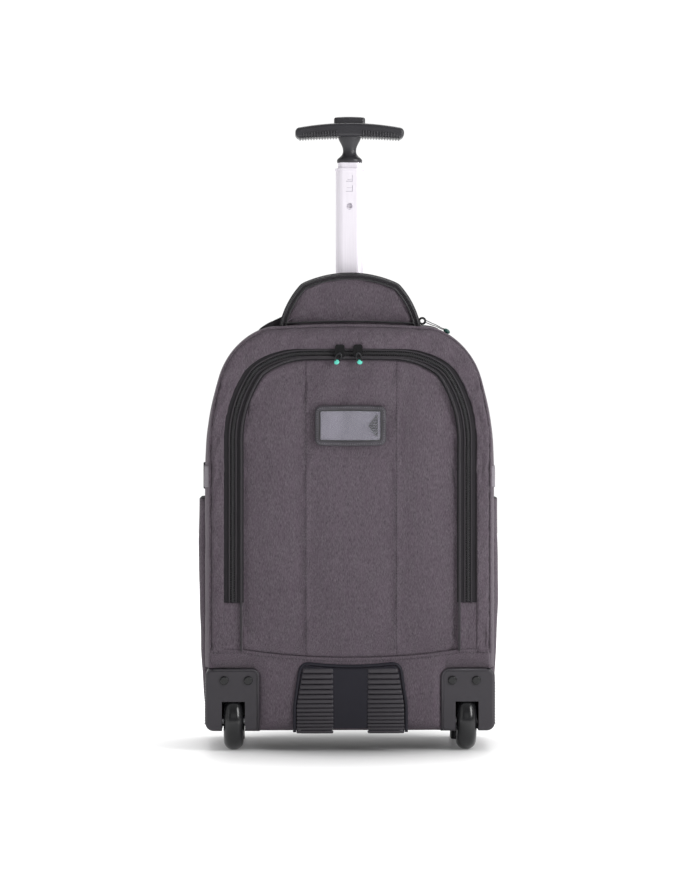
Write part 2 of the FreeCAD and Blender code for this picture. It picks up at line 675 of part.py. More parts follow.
def make_far_side():
    """Zip-around lid of the main compartment with an open-topped document pocket."""
    lid = slab(body_wire(0, lid_base), lid_inner + clear, lid_outer)
    soft = [e for e in lid.Edges if e.BoundBox.YMin > lid_outer - 0.01 and e.BoundBox.ZMax > lid_base + 5]
    nodes["main_lid"] = lid.makeFillet(3.0, soft)
    w, t = far_pocket_half, far_pocket_wall
    outer = box(-w, w, lid_outer, case_half_depth, far_pocket_base, far_pocket_top)
    outer = rounded(outer, 9.0, lambda e: e.BoundBox.YMin > case_half_depth - 0.01
                    and e.BoundBox.ZMax < far_pocket_top)
    core = box(-w + t, w - t, lid_outer - 1, case_half_depth - t, far_pocket_base + t, far_pocket_top + 5)
    nodes["far_pocket"] = outer.cut(core)


make_shell()
make_front()
make_flap()
make_sliders()
plug_pin_z = make_handle()
make_grip(plug_pin_z)
make_wheels()
make_skid()
make_hood()
make_sides()
make_far_side()

if __name__ == "__main__":
    os.makedirs("parts", exist_ok=True)
    for name, shape in sorted(nodes.items()):
        solids = shape.Solids
        print(f"{name:24s} solids {len(solids)} valid {shape.isValid()} {shape.Volume / 1000:8.2f} cm3")
        out = solids[0] if len(solids) == 1 else Part.makeCompound(solids)
        out.exportStep(f"parts/{name}.step")
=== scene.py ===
# %% [markdown]
# # A wheeled laptop case, dressed around its engineering model
# The hard parts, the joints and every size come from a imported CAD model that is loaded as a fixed
# frame. This script adds what a sewing room and a moulding shop would add: padded cloth, zips with
# real coils, piping, webbing, ribbed plastic and smooth rubber.

# %% Load the frame
import math

import bmesh
import bpy
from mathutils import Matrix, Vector, noise


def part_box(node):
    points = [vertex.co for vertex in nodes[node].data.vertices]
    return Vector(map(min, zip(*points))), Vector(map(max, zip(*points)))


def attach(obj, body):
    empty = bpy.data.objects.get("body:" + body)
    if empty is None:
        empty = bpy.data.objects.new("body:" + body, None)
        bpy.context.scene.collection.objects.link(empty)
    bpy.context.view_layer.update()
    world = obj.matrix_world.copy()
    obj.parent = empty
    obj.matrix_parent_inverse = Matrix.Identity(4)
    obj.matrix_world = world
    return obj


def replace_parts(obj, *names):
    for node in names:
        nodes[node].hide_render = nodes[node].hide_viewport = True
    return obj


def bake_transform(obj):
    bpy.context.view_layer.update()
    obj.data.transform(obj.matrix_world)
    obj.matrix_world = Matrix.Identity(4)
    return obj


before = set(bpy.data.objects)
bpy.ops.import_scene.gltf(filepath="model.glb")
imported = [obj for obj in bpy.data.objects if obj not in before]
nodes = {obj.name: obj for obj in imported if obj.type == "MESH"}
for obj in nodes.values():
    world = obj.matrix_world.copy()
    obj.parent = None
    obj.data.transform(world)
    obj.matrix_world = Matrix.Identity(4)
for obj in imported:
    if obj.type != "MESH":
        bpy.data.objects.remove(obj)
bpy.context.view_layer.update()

MM = 0.001


# %% [markdown]
# ## The maker's main sizes
# Everything soft is drawn around a few lines of the frame: the body's outline, the zipped opening and
# the planes in which the front panel, the lid and the boards lie. Reading them from the CAD boxes keeps
# the cloth on the frame when a size changes.

# %% Sizes read from the frame
_, gusset_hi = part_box("main_gusset")
flap_lo, flap_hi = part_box("front_flap")
face_lo, face_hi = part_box("front_frame")
lid_lo, lid_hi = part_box("main_lid")
housing_lo, housing_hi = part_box("wheel_housing_right")
tray_lo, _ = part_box("base_tray")

BODY_HALF = gusset_hi.x
BODY_TOP = gusset_hi.z
BODY_FOOT = tray_lo.z
FACE_Y = face_lo.y                  # front of the fixed front face
FLAP_Y = flap_lo.y                  # front of the zipped panel
REAR_Y = gusset_hi.y                # where the side band meets the lid
LID_Y = lid_hi.y
SEAM_INSET = BODY_HALF - face_hi.x  # front seam, in from the side band
OPEN_HALF = flap_hi.x + 0.4 * MM    # half width of the zipped opening
OPEN_TOP = flap_hi.z + 0.4 * MM
OPEN_FOOT = flap_lo.z
print(f"body {2 * BODY_HALF:.3f} m wide, top seam at {BODY_TOP:.3f} m, face at y {FACE_Y:.4f} m")

# %% [markdown]
# ## Camera, light and floor
# A product shot: a long lens level with the middle of the case, a broad soft light from the upper
# right, a weaker one from the left, and a pale floor that catches a thin contact shadow, deepened by a
# shadow painted into the floor's colour under and round the case. The world is white behind the case
# and dimmer on the camera's side, like a lit backdrop in a darker room, and the floor glows like a light
# table away from the case, so that only the contact shadow stays.

# %% Camera
IMAGE_TALL = 0.9385                 # metres of object height that fill the tall side of the frame
STAND_OFF = 3.2                     # lens to the front of the case
AIM = Vector((-0.0005, FLAP_Y, 0.343))
YAW = math.radians(-1.2)            # the case is turned a touch

camera_data = bpy.data.cameras.new("product_camera")
camera = bpy.data.objects.new("product_camera", camera_data)
bpy.context.scene.collection.objects.link(camera)
camera_data.sensor_width = 36.0
camera_data.lens = camera_data.sensor_width * STAND_OFF / IMAGE_TALL
camera.location = AIM + Vector((math.sin(YAW), -math.cos(YAW), 0)) * STAND_OFF
camera.rotation_euler = (math.radians(90), 0, YAW)
bpy.context.scene.camera = camera
print("lens", round(camera_data.lens, 1), "mm")

# %% Lights and world


def area_light(name, place, aim, size, power, tint=(1, 1, 1)):
    """Soft box that points from place to aim."""
    data = bpy.data.lights.new(name, "AREA")
    data.shape = "RECTANGLE"
    data.size, data.size_y = size
    data.energy = power
    data.color = tint
    light = bpy.data.objects.new(name, data)
    bpy.context.scene.collection.objects.link(light)
    light.location = place
    light.rotation_euler = (Vector(aim) - Vector(place)).to_track_quat("-Z", "Y").to_euler()
    return light


area_light("key_right", (1.15, -1.05, 0.95), (0, -0.05, 0.3), (0.5, 1.0), 18)
area_light("fill_left", (-2.1, -1.5, 0.9), (0, 0, 0.3), (0.6, 1.8), 3)
area_light("front_wash", (0.1, -3.4, 1.3), (0, 0, 0.3), (2.4, 1.2), 4)
area_light("top_rim", (0.2, 0.9, 2.2), (0, 0, 0.4), (1.8, 1.2), 20)



def mapped(tree, source, from_min, from_max, to_min, to_max):
    """Map a node value from one range to another, in a node tree."""
    made = tree.nodes.new("ShaderNodeMapRange")
    tree.links.new(source, made.inputs["Value"])
    ends = {"From Min": from_min, "From Max": from_max, "To Min": to_min, "To Max": to_max}
    for socket, value in ends.items():
        made.inputs[socket].default_value = value
    return made.outputs[0]


world = bpy.data.worlds.new("studio")
world.use_nodes = True
tree = world.node_tree
direction = tree.nodes.new("ShaderNodeTexCoord")
split = tree.nodes.new("ShaderNodeSeparateXYZ")
tree.links.new(direction.outputs["Generated"], split.inputs[0])
strength = mapped(tree, split.outputs["Y"], -0.7, 0.35, 0.24, 1.04)
tree.nodes["Background"].inputs[0].default_value = (1, 1, 1, 1)
tree.links.new(strength, tree.nodes["Background"].inputs[1])
bpy.context.scene.world = world
bpy.context.scene.view_settings.view_transform = "Standard"

# %% Floor
bpy.ops.mesh.primitive_plane_add(size=14, location=(0, 0, 0))
floor = bpy.context.object
floor.name = "studio_floor"
floor_paint = bpy.data.materials.new("pale_floor")
floor_paint.use_nodes = True
floor_shader = floor_paint.node_tree.nodes["Principled BSDF"]
floor_shader.inputs["Roughness"].default_value = 0.42
floor_shader.inputs["Emission Color"].default_value = (1, 1, 1, 1)
paint_tree = floor_paint.node_tree
spot = paint_tree.nodes.new("ShaderNodeTexCoord")
reach = paint_tree.nodes.new("ShaderNodeVectorMath")
reach.operation = "LENGTH"
paint_tree.links.new(spot.outputs["Object"], reach.inputs[0])
glow = mapped(paint_tree, reach.outputs["Value"], 0.10, 0.33, 0.0, 0.5)
paint_tree.links.new(glow, floor_shader.inputs["Emission Strength"])
# Painted contact shadow: the floor's colour is dark under and round the case and pales away from it.
painted_shadow_tone = mapped(paint_tree, reach.outputs["Value"], 0.06, 0.17, 0.40, 0.93)
paint_tree.links.new(painted_shadow_tone, floor_shader.inputs["Base Color"])
floor.data.materials.append(floor_paint)

# %% [markdown]
# ## Finishes
# Each finish is a small node graph on object coordinates, so nothing depends on unwrapping. The helper
# below keeps them short: it adds a node, sets its sockets and links what is given.

# %% Node helpers


def srgb(r, g, b):
    """Linear colour, with alpha, of three 8-bit display values."""
    def lin(v):
        v /= 255
        return v / 12.92 if v <= 0.04045 else ((v + 0.055) / 1.055) ** 2.4
    return (lin(r), lin(g), lin(b), 1.0)


class Finish:
    """A material under construction, with its principled shader."""

    def __init__(self, name, **sockets):
        self.material = bpy.data.materials.new(name)
        self.material.use_nodes = True
        self.tree = self.material.node_tree
        self.shader = self.tree.nodes["Principled BSDF"]
        for socket, value in sockets.items():
            self.shader.inputs[socket.replace("_", " ")].default_value = value
        self.coords = None

    def node(self, kind, links=None, **settings):
        """Add a node; settings that name a socket set it, the others set the node itself."""
        made = self.tree.nodes.new("ShaderNode" + kind)
        for key, value in settings.items():
            if hasattr(made, key):
                setattr(made, key, value)
            else:
                made.inputs[key.replace("_", " ")].default_value = value
        for socket, source in (links or {}).items():
            self.tree.links.new(source, made.inputs[socket])
        return made

    def place(self, scale, shift=(0, 0, 0), turn=(0, 0, 0)):
        """Object coordinates, scaled: how often a pattern repeats in a metre."""
        if self.coords is None:
            self.coords = self.tree.nodes.new("ShaderNodeTexCoord")
        mapping = self.node("Mapping", {"Vector": self.coords.outputs["Object"]})
        mapping.inputs["Scale"].default_value = scale
        mapping.inputs["Location"].default_value = shift
        mapping.inputs["Rotation"].default_value = turn
        return mapping.outputs[0]

    def noise(self, scale, detail=4.0, rough=0.55, shift=(0, 0, 0), turn=(0, 0, 0)):
        return self.node("TexNoise", {"Vector": self.place(scale, shift, turn)}, Scale=1.0, Detail=detail,
                         Roughness=rough).outputs[0]

    def ramp(self, source, stops):
        """Colour ramp from (position, colour) stops."""
        made = self.node("ValToRGB", {"Fac": source})
        while len(made.color_ramp.elements) < len(stops):
            made.color_ramp.elements.new(0.5)
        for element, (position, colour) in zip(made.color_ramp.elements, stops):
            element.position, element.color = position, colour
        return made.outputs[0]

    def feed(self, made, *values):
        """Give a node its inputs in order, each a link or a plain value."""
        for socket, value in enumerate(values):
            if hasattr(value, "node"):
                self.tree.links.new(value, made.inputs[socket])
            else:
                made.inputs[socket].default_value = value
        return made.outputs[0]

    def mix(self, a, b, amount, kind="MIX"):
        return self.feed(self.node("MixRGB", blend_type=kind), amount, a, b)

    def math(self, kind, a, b=0.5):
        return self.feed(self.node("Math", operation=kind), a, b)

    def wave(self, axis, scale, distortion):
        """Bands along an axis, for yarns and ribs."""
        return self.node("TexWave", {"Vector": self.place((1, 1, 1))}, wave_type="BANDS", bands_direction=axis,
                         Scale=scale, Distortion=distortion, Detail=1.0).outputs[1]

    def colour(self, source):
        self.tree.links.new(source, self.shader.inputs["Base Color"])

    def rough(self, source, low, high):
        """Roughness that varies between two values with a pattern."""
        scaled = self.node("MapRange", {"Value": source})
        scaled.inputs["To Min"].default_value = low
        scaled.inputs["To Max"].default_value = high
        self.tree.links.new(scaled.outputs[0], self.shader.inputs["Roughness"])

    def bump(self, *layers):
        """Stack of (height, strength, distance in metres) bumps."""
        previous = None
        for height, strength, distance in layers:
            made = self.node("Bump", {"Height": height}, Strength=strength, Distance=distance)
            if previous is not None:
                self.tree.links.new(previous, made.inputs["Normal"])
            previous = made.outputs[0]
        self.tree.links.new(previous, self.shader.inputs["Normal"])

# %% [markdown]
# ### Melange cloth
# The shell is a heavy polyester woven from two-tone yarn. Up close it is a plain weave; from a step away
# it reads as short upright streaks, some plum and some neutral grey. Three stretched noises give the
# streaks, two crossed waves give the yarns, and a soft sheen lifts the edges.

# %% Melange cloth


def make_melange(name, dark, light, plum):
    cloth = Finish(name, Roughness=0.88, Sheen_Weight=0.1, Sheen_Roughness=0.4, Specular_IOR_Level=0.2)
    streaks = cloth.noise((1900, 1900, 300), 3, 0.7)
    patches = cloth.noise((190, 190, 60), 3, 0.6, shift=(3.1, 1.7, 0))
    clouds = cloth.noise((24, 24, 14), 3, 0.5)
    middle = tuple((a + b) / 2 for a, b in zip(dark, light))
    base = cloth.ramp(streaks, [(0.33, dark), (0.5, middle), (0.69, light)])
    tinted = cloth.mix(base, plum, cloth.math("MULTIPLY", patches, 0.62))
    cloth.colour(cloth.mix(tinted, clouds, 0.10, "SOFT_LIGHT"))
    yarns = cloth.math("ADD", cloth.wave("X", 620.0, 1.2), cloth.wave("Z", 520.0, 1.2))
    cloth.bump((yarns, 0.28, 0.0003), (streaks, 0.30, 0.0005), (clouds, 0.25, 0.004))
    return cloth.material


melange = make_melange("melange_cloth", srgb(48, 44, 49), srgb(110, 103, 109), srgb(82, 67, 80))
print("finish", melange.name)

# %% [markdown]
# ### Tapes, coil and webbing
# Zip tape is a flat herringbone ribbon; the coil is a smooth nylon monofilament; the side straps are a
# coarser webbing. All are near black, so they differ by gloss and by the pitch of their ribs.

# %% Tape, coil, webbing and lining


def make_ribbed(name, colour, pitch, depth, roughness, axis="Z", gloss=0.3, speckle=0.25):
    cloth = Finish(name, Roughness=roughness, Specular_IOR_Level=gloss, Sheen_Weight=0.12)
    ribs = cloth.wave(axis, 0.314 / pitch, 0.6)
    fuzz = cloth.noise((1400, 1400, 1400), 3, 0.6)
    lighter = tuple(min(1, c * 1.7) for c in colour[:3]) + (1,)
    tone = cloth.mix(colour, lighter, cloth.math("MULTIPLY", ribs, 0.5))
    cloth.colour(cloth.mix(tone, cloth.ramp(fuzz, [(0.3, (0, 0, 0, 1)), (0.7, lighter)]), speckle))
    cloth.bump((ribs, 0.6, depth), (fuzz, 0.2, 0.0002))
    return cloth.material


zip_cloth = make_ribbed("zip_tape_cloth", srgb(32, 29, 33), 0.0011, 0.0003, 0.8, "DIAGONAL")
coil_nylon = make_ribbed("zip_coil_nylon", srgb(28, 27, 30), 0.0014, 0.0002, 0.42, "Z", 0.5, 0.1)
piping_cloth = make_ribbed("piping_cloth", srgb(44, 41, 45), 0.0012, 0.0002, 0.7)
webbing = make_ribbed("strap_webbing", srgb(108, 102, 109), 0.0016, 0.0004, 0.85, "Z", 0.3, 0.4)
lining = make_ribbed("dark_lining", srgb(58, 58, 62), 0.0008, 0.0001, 0.75, "X", 0.3, 0.2)
thread = make_ribbed("seam_thread", srgb(26, 24, 27), 0.0009, 0.0002, 0.7)
pale_thread = make_ribbed("pale_thread", srgb(128, 124, 132), 0.0009, 0.0002, 0.6)

# %% [markdown]
# ### Moulded parts
# The housings and the scuff plate come from spark-eroded moulds: an even fine grain, slightly paler where
# shoes and kerbs rub. The grip is smoother. Wheels are cast polyurethane, almost glossy.

# %% Plastics and rubber


def make_moulded(name, colour, roughness, grain, strength, wear=0.12):
    plastic = Finish(name, Roughness=roughness, Specular_IOR_Level=0.42)
    fine = plastic.noise((grain, grain, grain), 3, 0.6)
    broad = plastic.noise((35, 35, 35), 4, 0.6)
    pale = tuple(min(1, c * 1.9 + 0.01) for c in colour[:3]) + (1,)
    plastic.colour(plastic.mix(colour, pale, plastic.math("MULTIPLY", broad, wear * 2)))
    plastic.rough(broad, roughness - 0.07, roughness + 0.07)
    plastic.bump((fine, strength, 0.0004), (broad, 0.08, 0.002))
    return plastic.material


housing_plastic = make_moulded("housing_plastic", srgb(45, 42, 47), 0.46, 1500, 0.32)
skid_plastic = make_moulded("scuff_plastic", srgb(30, 29, 36), 0.42, 1300, 0.28)
grip_plastic = make_moulded("grip_plastic", srgb(38, 37, 41), 0.4, 1800, 0.2)
buckle_plastic = make_moulded("buckle_plastic", srgb(42, 41, 45), 0.38, 1500, 0.12)
board_plastic = make_moulded("board_plastic", srgb(60, 60, 64), 0.6, 900, 0.2)
skid_plastic.node_tree.nodes["Principled BSDF"].inputs["Specular IOR Level"].default_value = 0.15
tyre_rubber = make_moulded("cast_tyre", srgb(24, 24, 26), 0.2, 700, 0.06, 0.05)
hub_plastic = make_moulded("hub_plastic", srgb(38, 38, 41), 0.4, 1200, 0.15)
foot_rubber = make_moulded("foot_rubber", srgb(34, 34, 36), 0.75, 900, 0.35)
enamel = make_moulded("slider_enamel", srgb(12, 12, 14), 0.2, 900, 0.05, 0.03)
pull_black = make_moulded("pull_black", srgb(26, 26, 29), 0.35, 1200, 0.1, 0.05)
pull_mint = make_moulded("pull_mint", srgb(84, 192, 172), 0.38, 1200, 0.08, 0.06)
pull_green = make_moulded("pull_dark_green", srgb(28, 66, 60), 0.4, 1200, 0.08, 0.06)

# %% [markdown]
# ### Metals, leatherette, card and film
# The tubes are extruded aluminium, bead-blasted and clear anodised: a satin white metal with faint draw
# lines along Z. The card holder is embossed leatherette round a satin card behind a clear film.

# %% Metals and the card holder's finishes


def make_metal(name, colour, roughness, lines):
    metal = Finish(name, Metallic=1.0, Roughness=roughness)
    drawn = metal.noise(lines, 4, 0.6)
    metal.rough(drawn, roughness - 0.06, roughness + 0.1)
    metal.colour(metal.ramp(drawn, [(0.3, tuple(c * 0.9 for c in colour[:3]) + (1,)), (0.7, colour)]))
    metal.bump((drawn, 0.06, 0.0002))
    return metal.material


tube_metal = make_metal("anodised_tube", srgb(232, 227, 235), 0.44, (1600, 1600, 14))
tube_metal.node_tree.nodes["Principled BSDF"].inputs["Metallic"].default_value = 0.22
steel = make_metal("turned_steel", srgb(196, 196, 200), 0.26, (60, 1500, 1500))


def make_leatherette():
    skin = Finish("embossed_leatherette", Roughness=0.46, Specular_IOR_Level=0.5)
    cells = skin.node("TexVoronoi", {"Vector": skin.place((1400, 1400, 1400))}, Scale=1.0,
                      feature="DISTANCE_TO_EDGE").outputs[0]
    broad = skin.noise((60, 60, 60), 3)
    skin.colour(skin.ramp(broad, [(0.3, srgb(42, 40, 45)), (0.7, srgb(64, 61, 67))]))
    skin.bump((cells, 0.35, 0.0004), (broad, 0.1, 0.001))
    return skin.material


leatherette = make_leatherette()


def make_card():
    card = Finish("satin_card", Metallic=0.35, Roughness=0.42)
    broad = card.noise((30, 30, 20), 3)
    card.colour(card.ramp(broad, [(0.3, srgb(98, 95, 106)), (0.7, srgb(122, 118, 130))]))
    card.rough(broad, 0.36, 0.44)
    card.bump((broad, 0.1, 0.002))
    return card.material


card_face = make_card()


def make_film():
    film = Finish("clear_film", Roughness=0.25, Alpha=0.05, Specular_IOR_Level=0.5)
    waves = film.noise((40, 40, 40), 3)
    film.colour(film.ramp(waves, [(0.3, srgb(210, 210, 220)), (0.7, srgb(238, 238, 244))]))
    return film.material


clear_film = make_film()
print("finishes made:", len(bpy.data.materials))

# %% [markdown]
# ## Shared sewing and moulding helpers
# Outlines are drawn in the front view, as (x, z) points from arcs, and every panel, tape and bead follows
# one of them. A strip between two such lines is how a sewing room cuts a tape.

# %% Outlines


def arc_points(a, b, c, count):
    """Points on the circle through a, b and c, from a to c, without the last."""
    ax, az, bx, bz, cx, cz = *a, *b, *c
    d = 2 * (ax * (bz - cz) + bx * (cz - az) + cx * (az - bz))
    a2, b2, c2 = ax * ax + az * az, bx * bx + bz * bz, cx * cx + cz * cz
    ux = (a2 * (bz - cz) + b2 * (cz - az) + c2 * (az - bz)) / d
    uz = (a2 * (cx - bx) + b2 * (ax - cx) + c2 * (bx - ax)) / d
    radius = math.hypot(ax - ux, az - uz)
    start = math.atan2(az - uz, ax - ux)
    sweep = (math.atan2(cz - uz, cx - ux) - start + math.pi) % (2 * math.pi) - math.pi
    turns = [start + sweep * k / count for k in range(count)]
    return [(ux + radius * math.cos(turn), uz + radius * math.sin(turn)) for turn in turns]


def resample(points, count):
    """The same line with evenly spaced points, ends kept."""
    lengths = [0.0]
    for p, q in zip(points, points[1:]):
        lengths.append(lengths[-1] + math.dist(p, q))
    out, k = [], 0
    for step in range(count):
        target = lengths[-1] * step / (count - 1)
        while k < len(lengths) - 2 and lengths[k + 1] < target:
            k += 1
        span = lengths[k + 1] - lengths[k]
        t = (target - lengths[k]) / span if span else 0
        out.append(tuple(u + (v - u) * t for u, v in zip(points[k], points[k + 1])))
    return out


def smooth_line(points, rounds=3):
    """Average away small kinks, ends kept."""
    for _ in range(rounds):
        points = [points[0]] + [tuple((a + 2 * b + c) / 4 for a, b, c in zip(*trio))
                                for trio in zip(points, points[1:], points[2:])] + [points[-1]]
    return points


def offset_line(points, distance):
    """Move a left-to-right arch outwards (up and away from the middle) by a distance."""
    out = []
    for k, p in enumerate(points):
        q, r = points[max(k - 1, 0)], points[min(k + 1, len(points) - 1)]
        tx, tz = r[0] - q[0], r[1] - q[1]
        length = math.hypot(tx, tz) or 1
        out.append((p[0] - tz / length * distance, p[1] + tx / length * distance))
    return out


def arch(right_half, count):
    """Full arch, left foot to right foot, from the right half's points given foot to top."""
    left = [(-x, z) for x, z in right_half]
    line = left + [(x, z) for x, z in reversed(right_half)][1:]
    return smooth_line(resample(line, count))


def body_arch(inset, foot, count=220):
    """Outline of the body's side band."""
    w, h = BODY_HALF, BODY_TOP
    side = [(w, h - 0.154), (w - 0.003, h - 0.099), (w - 0.0105, h - 0.064)]
    shoulder = [side[2], (w - 0.0265, h - 0.030), (w - 0.0645, h - 0.0035)]
    right = [(w, foot)] + arc_points(*side, 14) + arc_points(*shoulder, 16)
    right += arc_points(shoulder[2], (0, h), (-shoulder[2][0], shoulder[2][1]), 40)[:20] + [(0, h)]
    return offset_line(arch(right, count), -inset)


def opening_arch(inset, foot, count=200):
    """Outline of the zipped opening in the front face."""
    w, h = OPEN_HALF, OPEN_TOP
    side = [(w, h - 0.1015), (w - 0.006, h - 0.0545), (w - 0.024, h - 0.0185)]
    corner = [side[2], (w - 0.044, h - 0.007), (w - 0.077, h - 0.0005)]
    right = [(w, foot)] + arc_points(*side, 14) + arc_points(*corner, 14) + [corner[2], (0, h)]
    return offset_line(arch(right, count), -inset)

# %% Mesh helpers


def new_piece(name, verts, faces, material, body, smooth=True):
    """Mesh piece from points and faces, in place, riding on a body of the frame."""
    mesh = bpy.data.meshes.new(name)
    mesh.from_pydata(verts, [], faces)
    mesh.validate()
    piece = bpy.data.objects.new(name, mesh)
    bpy.context.scene.collection.objects.link(piece)
    mesh.materials.append(material)
    if smooth:
        mesh.shade_smooth()
    if body:
        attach(piece, body)
    return piece


def pick(piece):
    """Make one piece the only selected and active one."""
    for other in bpy.context.selected_objects:
        other.select_set(False)
    piece.select_set(True)
    bpy.context.view_layer.objects.active = piece


def apply_modifier(piece, kind, **settings):
    """Add a modifier, set it and apply it."""
    pick(piece)
    made = piece.modifiers.new(kind.lower(), kind)
    for key, value in settings.items():
        setattr(made, key, value)
    bpy.ops.object.modifier_apply(modifier=made.name)


def outward(piece):
    """Recalculate the normals of a closed mesh."""
    mesh = bmesh.new()
    mesh.from_mesh(piece.data)
    bmesh.ops.remove_doubles(mesh, verts=mesh.verts, dist=1e-6)
    bmesh.ops.recalc_face_normals(mesh, faces=mesh.faces)
    mesh.to_mesh(piece.data)
    mesh.free()
    return piece


def grid_faces(rows, columns, closed_rows=False, closed_columns=False):
    """Quads of a rows x columns grid of points."""
    faces = []
    for r in range(rows if closed_rows else rows - 1):
        for c in range(columns if closed_columns else columns - 1):
            r2, c2 = (r + 1) % rows, (c + 1) % columns
            faces.append((r * columns + c, r * columns + c2, r2 * columns + c2, r2 * columns + c))
    return faces


def flipped(faces):
    """The same faces, seen from the other side."""
    return [tuple(reversed(f)) for f in faces]


def swept(name, path, section, material, body, closed=False):
    """Solid swept along (x, y, z) points; section lists (across, out) offsets, out towards -Y."""
    verts, count = [], len(path)
    for k, p in enumerate(path):
        q = path[k - 1 if closed or k else 0]
        r = path[(k + 1) % count if closed or k < count - 1 else k]
        along = (Vector(r) - Vector(q)).normalized()
        side = along.cross(Vector((0, -1, 0))).normalized()
        out = side.cross(along).normalized()
        verts += [tuple(Vector(p) + side * a + out * b) for a, b in section]
    n = len(section)
    faces = grid_faces(count, n, closed_rows=closed, closed_columns=True)
    if not closed:
        faces += [tuple(range(n)), tuple(range((count - 1) * n, count * n))]
    return outward(new_piece(name, verts, faces, material, body))


def round_section(radius, sides=8):
    turns = [2 * math.pi * k / sides for k in range(sides)]
    return [(radius * math.cos(turn), radius * math.sin(turn)) for turn in turns]


def flat_section(width, thickness):
    """Flat tape section with eased edges."""
    w, t, e = width / 2, thickness / 2, min(width, thickness) * 0.25
    return [(-w, -t + e), (-w, t - e), (-w + e, t), (w - e, t),
            (w, t - e), (w, -t + e), (w - e, -t), (-w + e, -t)]


def ruffle(point, scale, seed=0.0):
    """Smooth repeatable noise between -1 and 1."""
    return noise.noise(Vector(point) * scale + Vector((seed, seed * 0.7, -seed)))


def join(name, parts, body):
    """Several pieces of one finish made one."""
    pick(parts[0])
    for part in parts:
        part.select_set(True)
    if len(parts) > 1:
        bpy.ops.object.join()
    whole = bpy.context.object
    whole.name = whole.data.name = name
    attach(whole, body)
    return whole


def stitches(name, path, length, gap, radius, body, lift=0.0, material=thread):
    """Row of short thread stitches along (x, y, z) points."""
    total = sum(math.dist(p, q) for p, q in zip(path, path[1:]))
    points = resample(path, max(4, int(total / (length + gap)) * 2))
    verts, faces = [], []
    for k in range(0, len(points) - 1, 2):
        a, b = Vector(points[k]), Vector(points[k + 1])
        along = (b - a).normalized()
        side = along.cross(Vector((0, -1, 0))).normalized() * radius
        out = Vector((0, -1, 0)) * (radius + lift)
        low = Vector((0, -1, 0)) * (lift - radius)
        base = len(verts)
        mid, under = (a + b) / 2 + out * 1.3, (a + b) / 2 + low
        verts += [a + low, mid + side, mid - side, b + low, under + side, under - side]
        faces += [(base, base + 1, base + 2), (base + 3, base + 2, base + 1), (base, base + 4, base + 1),
                  (base + 4, base + 3, base + 1), (base, base + 2, base + 5), (base + 5, base + 2, base + 3),
                  (base, base + 5, base + 4), (base + 5, base + 3, base + 4)]
    return new_piece(name, [tuple(v) for v in verts], faces, material, body, smooth=False)


# %% [markdown]
# ## The side band
# On the bench this is one long padded strip, sewn to the front panel along a piped seam and to the lid's
# zip at the back. It is drawn as a loft: for each place along the arch a row of points runs from front to
# back, pulled in at both seams and swelling a little in between, with shallow ripples near the seams.

# %% Side band
BAND_FOOT = BODY_FOOT + 4 * MM
BAND_SWELL = 3.6 * MM
BAND_WALL = 3.2 * MM
SWELL_FADE = (0.39, 0.09)           # height at which the swell starts to fade, and over how much
FRONT_SEAM_Y = FACE_Y + 3.0 * MM


def band_point(line_point, normal, t):
    """Point of the side band at a share t of the way from the front seam to the lid."""
    y = FRONT_SEAM_Y + (REAR_Y - FRONT_SEAM_Y) * t
    full = (0.4 + BAND_SWELL / MM * min(1, max(0, (SWELL_FADE[0] - line_point[1]) / SWELL_FADE[1]))) * MM
    lift = full * (math.sin(math.pi * min(1, t * 1.05)) ** 0.5 if 0 < t < 0.95 else 0)
    inset = SEAM_INSET * max(0, 1 - t / 0.14) ** 1.6
    ripple = 0.5 * MM * ruffle((line_point[0], y, line_point[1]), 22) + 0.35 * MM * ruffle(
        (line_point[0] * 3, y * 0.6, line_point[1] * 3), 26, 5)
    push = lift - inset + ripple * math.sin(math.pi * t)
    return (line_point[0] + normal[0] * push, y, line_point[1] + normal[1] * push)


def arch_normals(points):
    lifted = offset_line(points, 1.0)
    return [(q[0] - p[0], q[1] - p[1]) for p, q in zip(points, lifted)]


band_line = body_arch(0, BAND_FOOT, 240)
band_normals = arch_normals(band_line)
BAND_STEPS = 34
outer_skin = []
for p, n in zip(band_line, band_normals):
    outer_skin += [band_point(p, n, k / (BAND_STEPS - 1)) for k in range(BAND_STEPS)]
housing_top = housing_hi.z
housing_end = housing_hi.y + 0.4 * MM


def keeps(face, points):
    """False where the wheel housing takes the lower front corner."""
    middle = [sum(points[v][a] for v in face) / 4 for a in range(3)]
    return not (middle[2] < housing_top + 1 * MM and middle[1] < housing_end)


faces = flipped(f for f in grid_faces(len(band_line), BAND_STEPS) if keeps(f, outer_skin))
band = new_piece("side_band_cloth", outer_skin, faces, melange, None)
apply_modifier(band, "SOLIDIFY", thickness=BAND_WALL, offset=-1.0, use_rim=True)
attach(band, "case")
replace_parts(band, "main_gusset", "front_pocket_gusset")
print("side band", len(band.data.polygons), "faces")

# %% [markdown]
# ## Padded panels
# A padded panel is two cloths with foam between, sewn round its edge and along quilting lines. It starts
# as a grid of upright columns, with a column exactly on each quilting line. The edge and those columns
# are pinned, and a short cloth simulation blows the rest outwards, so the pull of each seam is real. The
# result is capped, closed with a back and walls, and keeps its columns for the thread that follows.

# %% Padded panel helper
SHRINK = -0.012                     # share by which a settling cloth may grow
SETTLE_FRAMES = 18
EDGE_STEP = 0.0022                  # between the outermost columns of a panel


def height_at(line, x):
    """Height of an arch above x."""
    return max([z for px, z in line if abs(px) >= abs(x) - 1e-5] or [line[0][1]])


def half_at(line, z):
    """Half width of an arch at height z."""
    return max([abs(px) for px, pz in line if pz >= z - 1e-4] or [0.0])


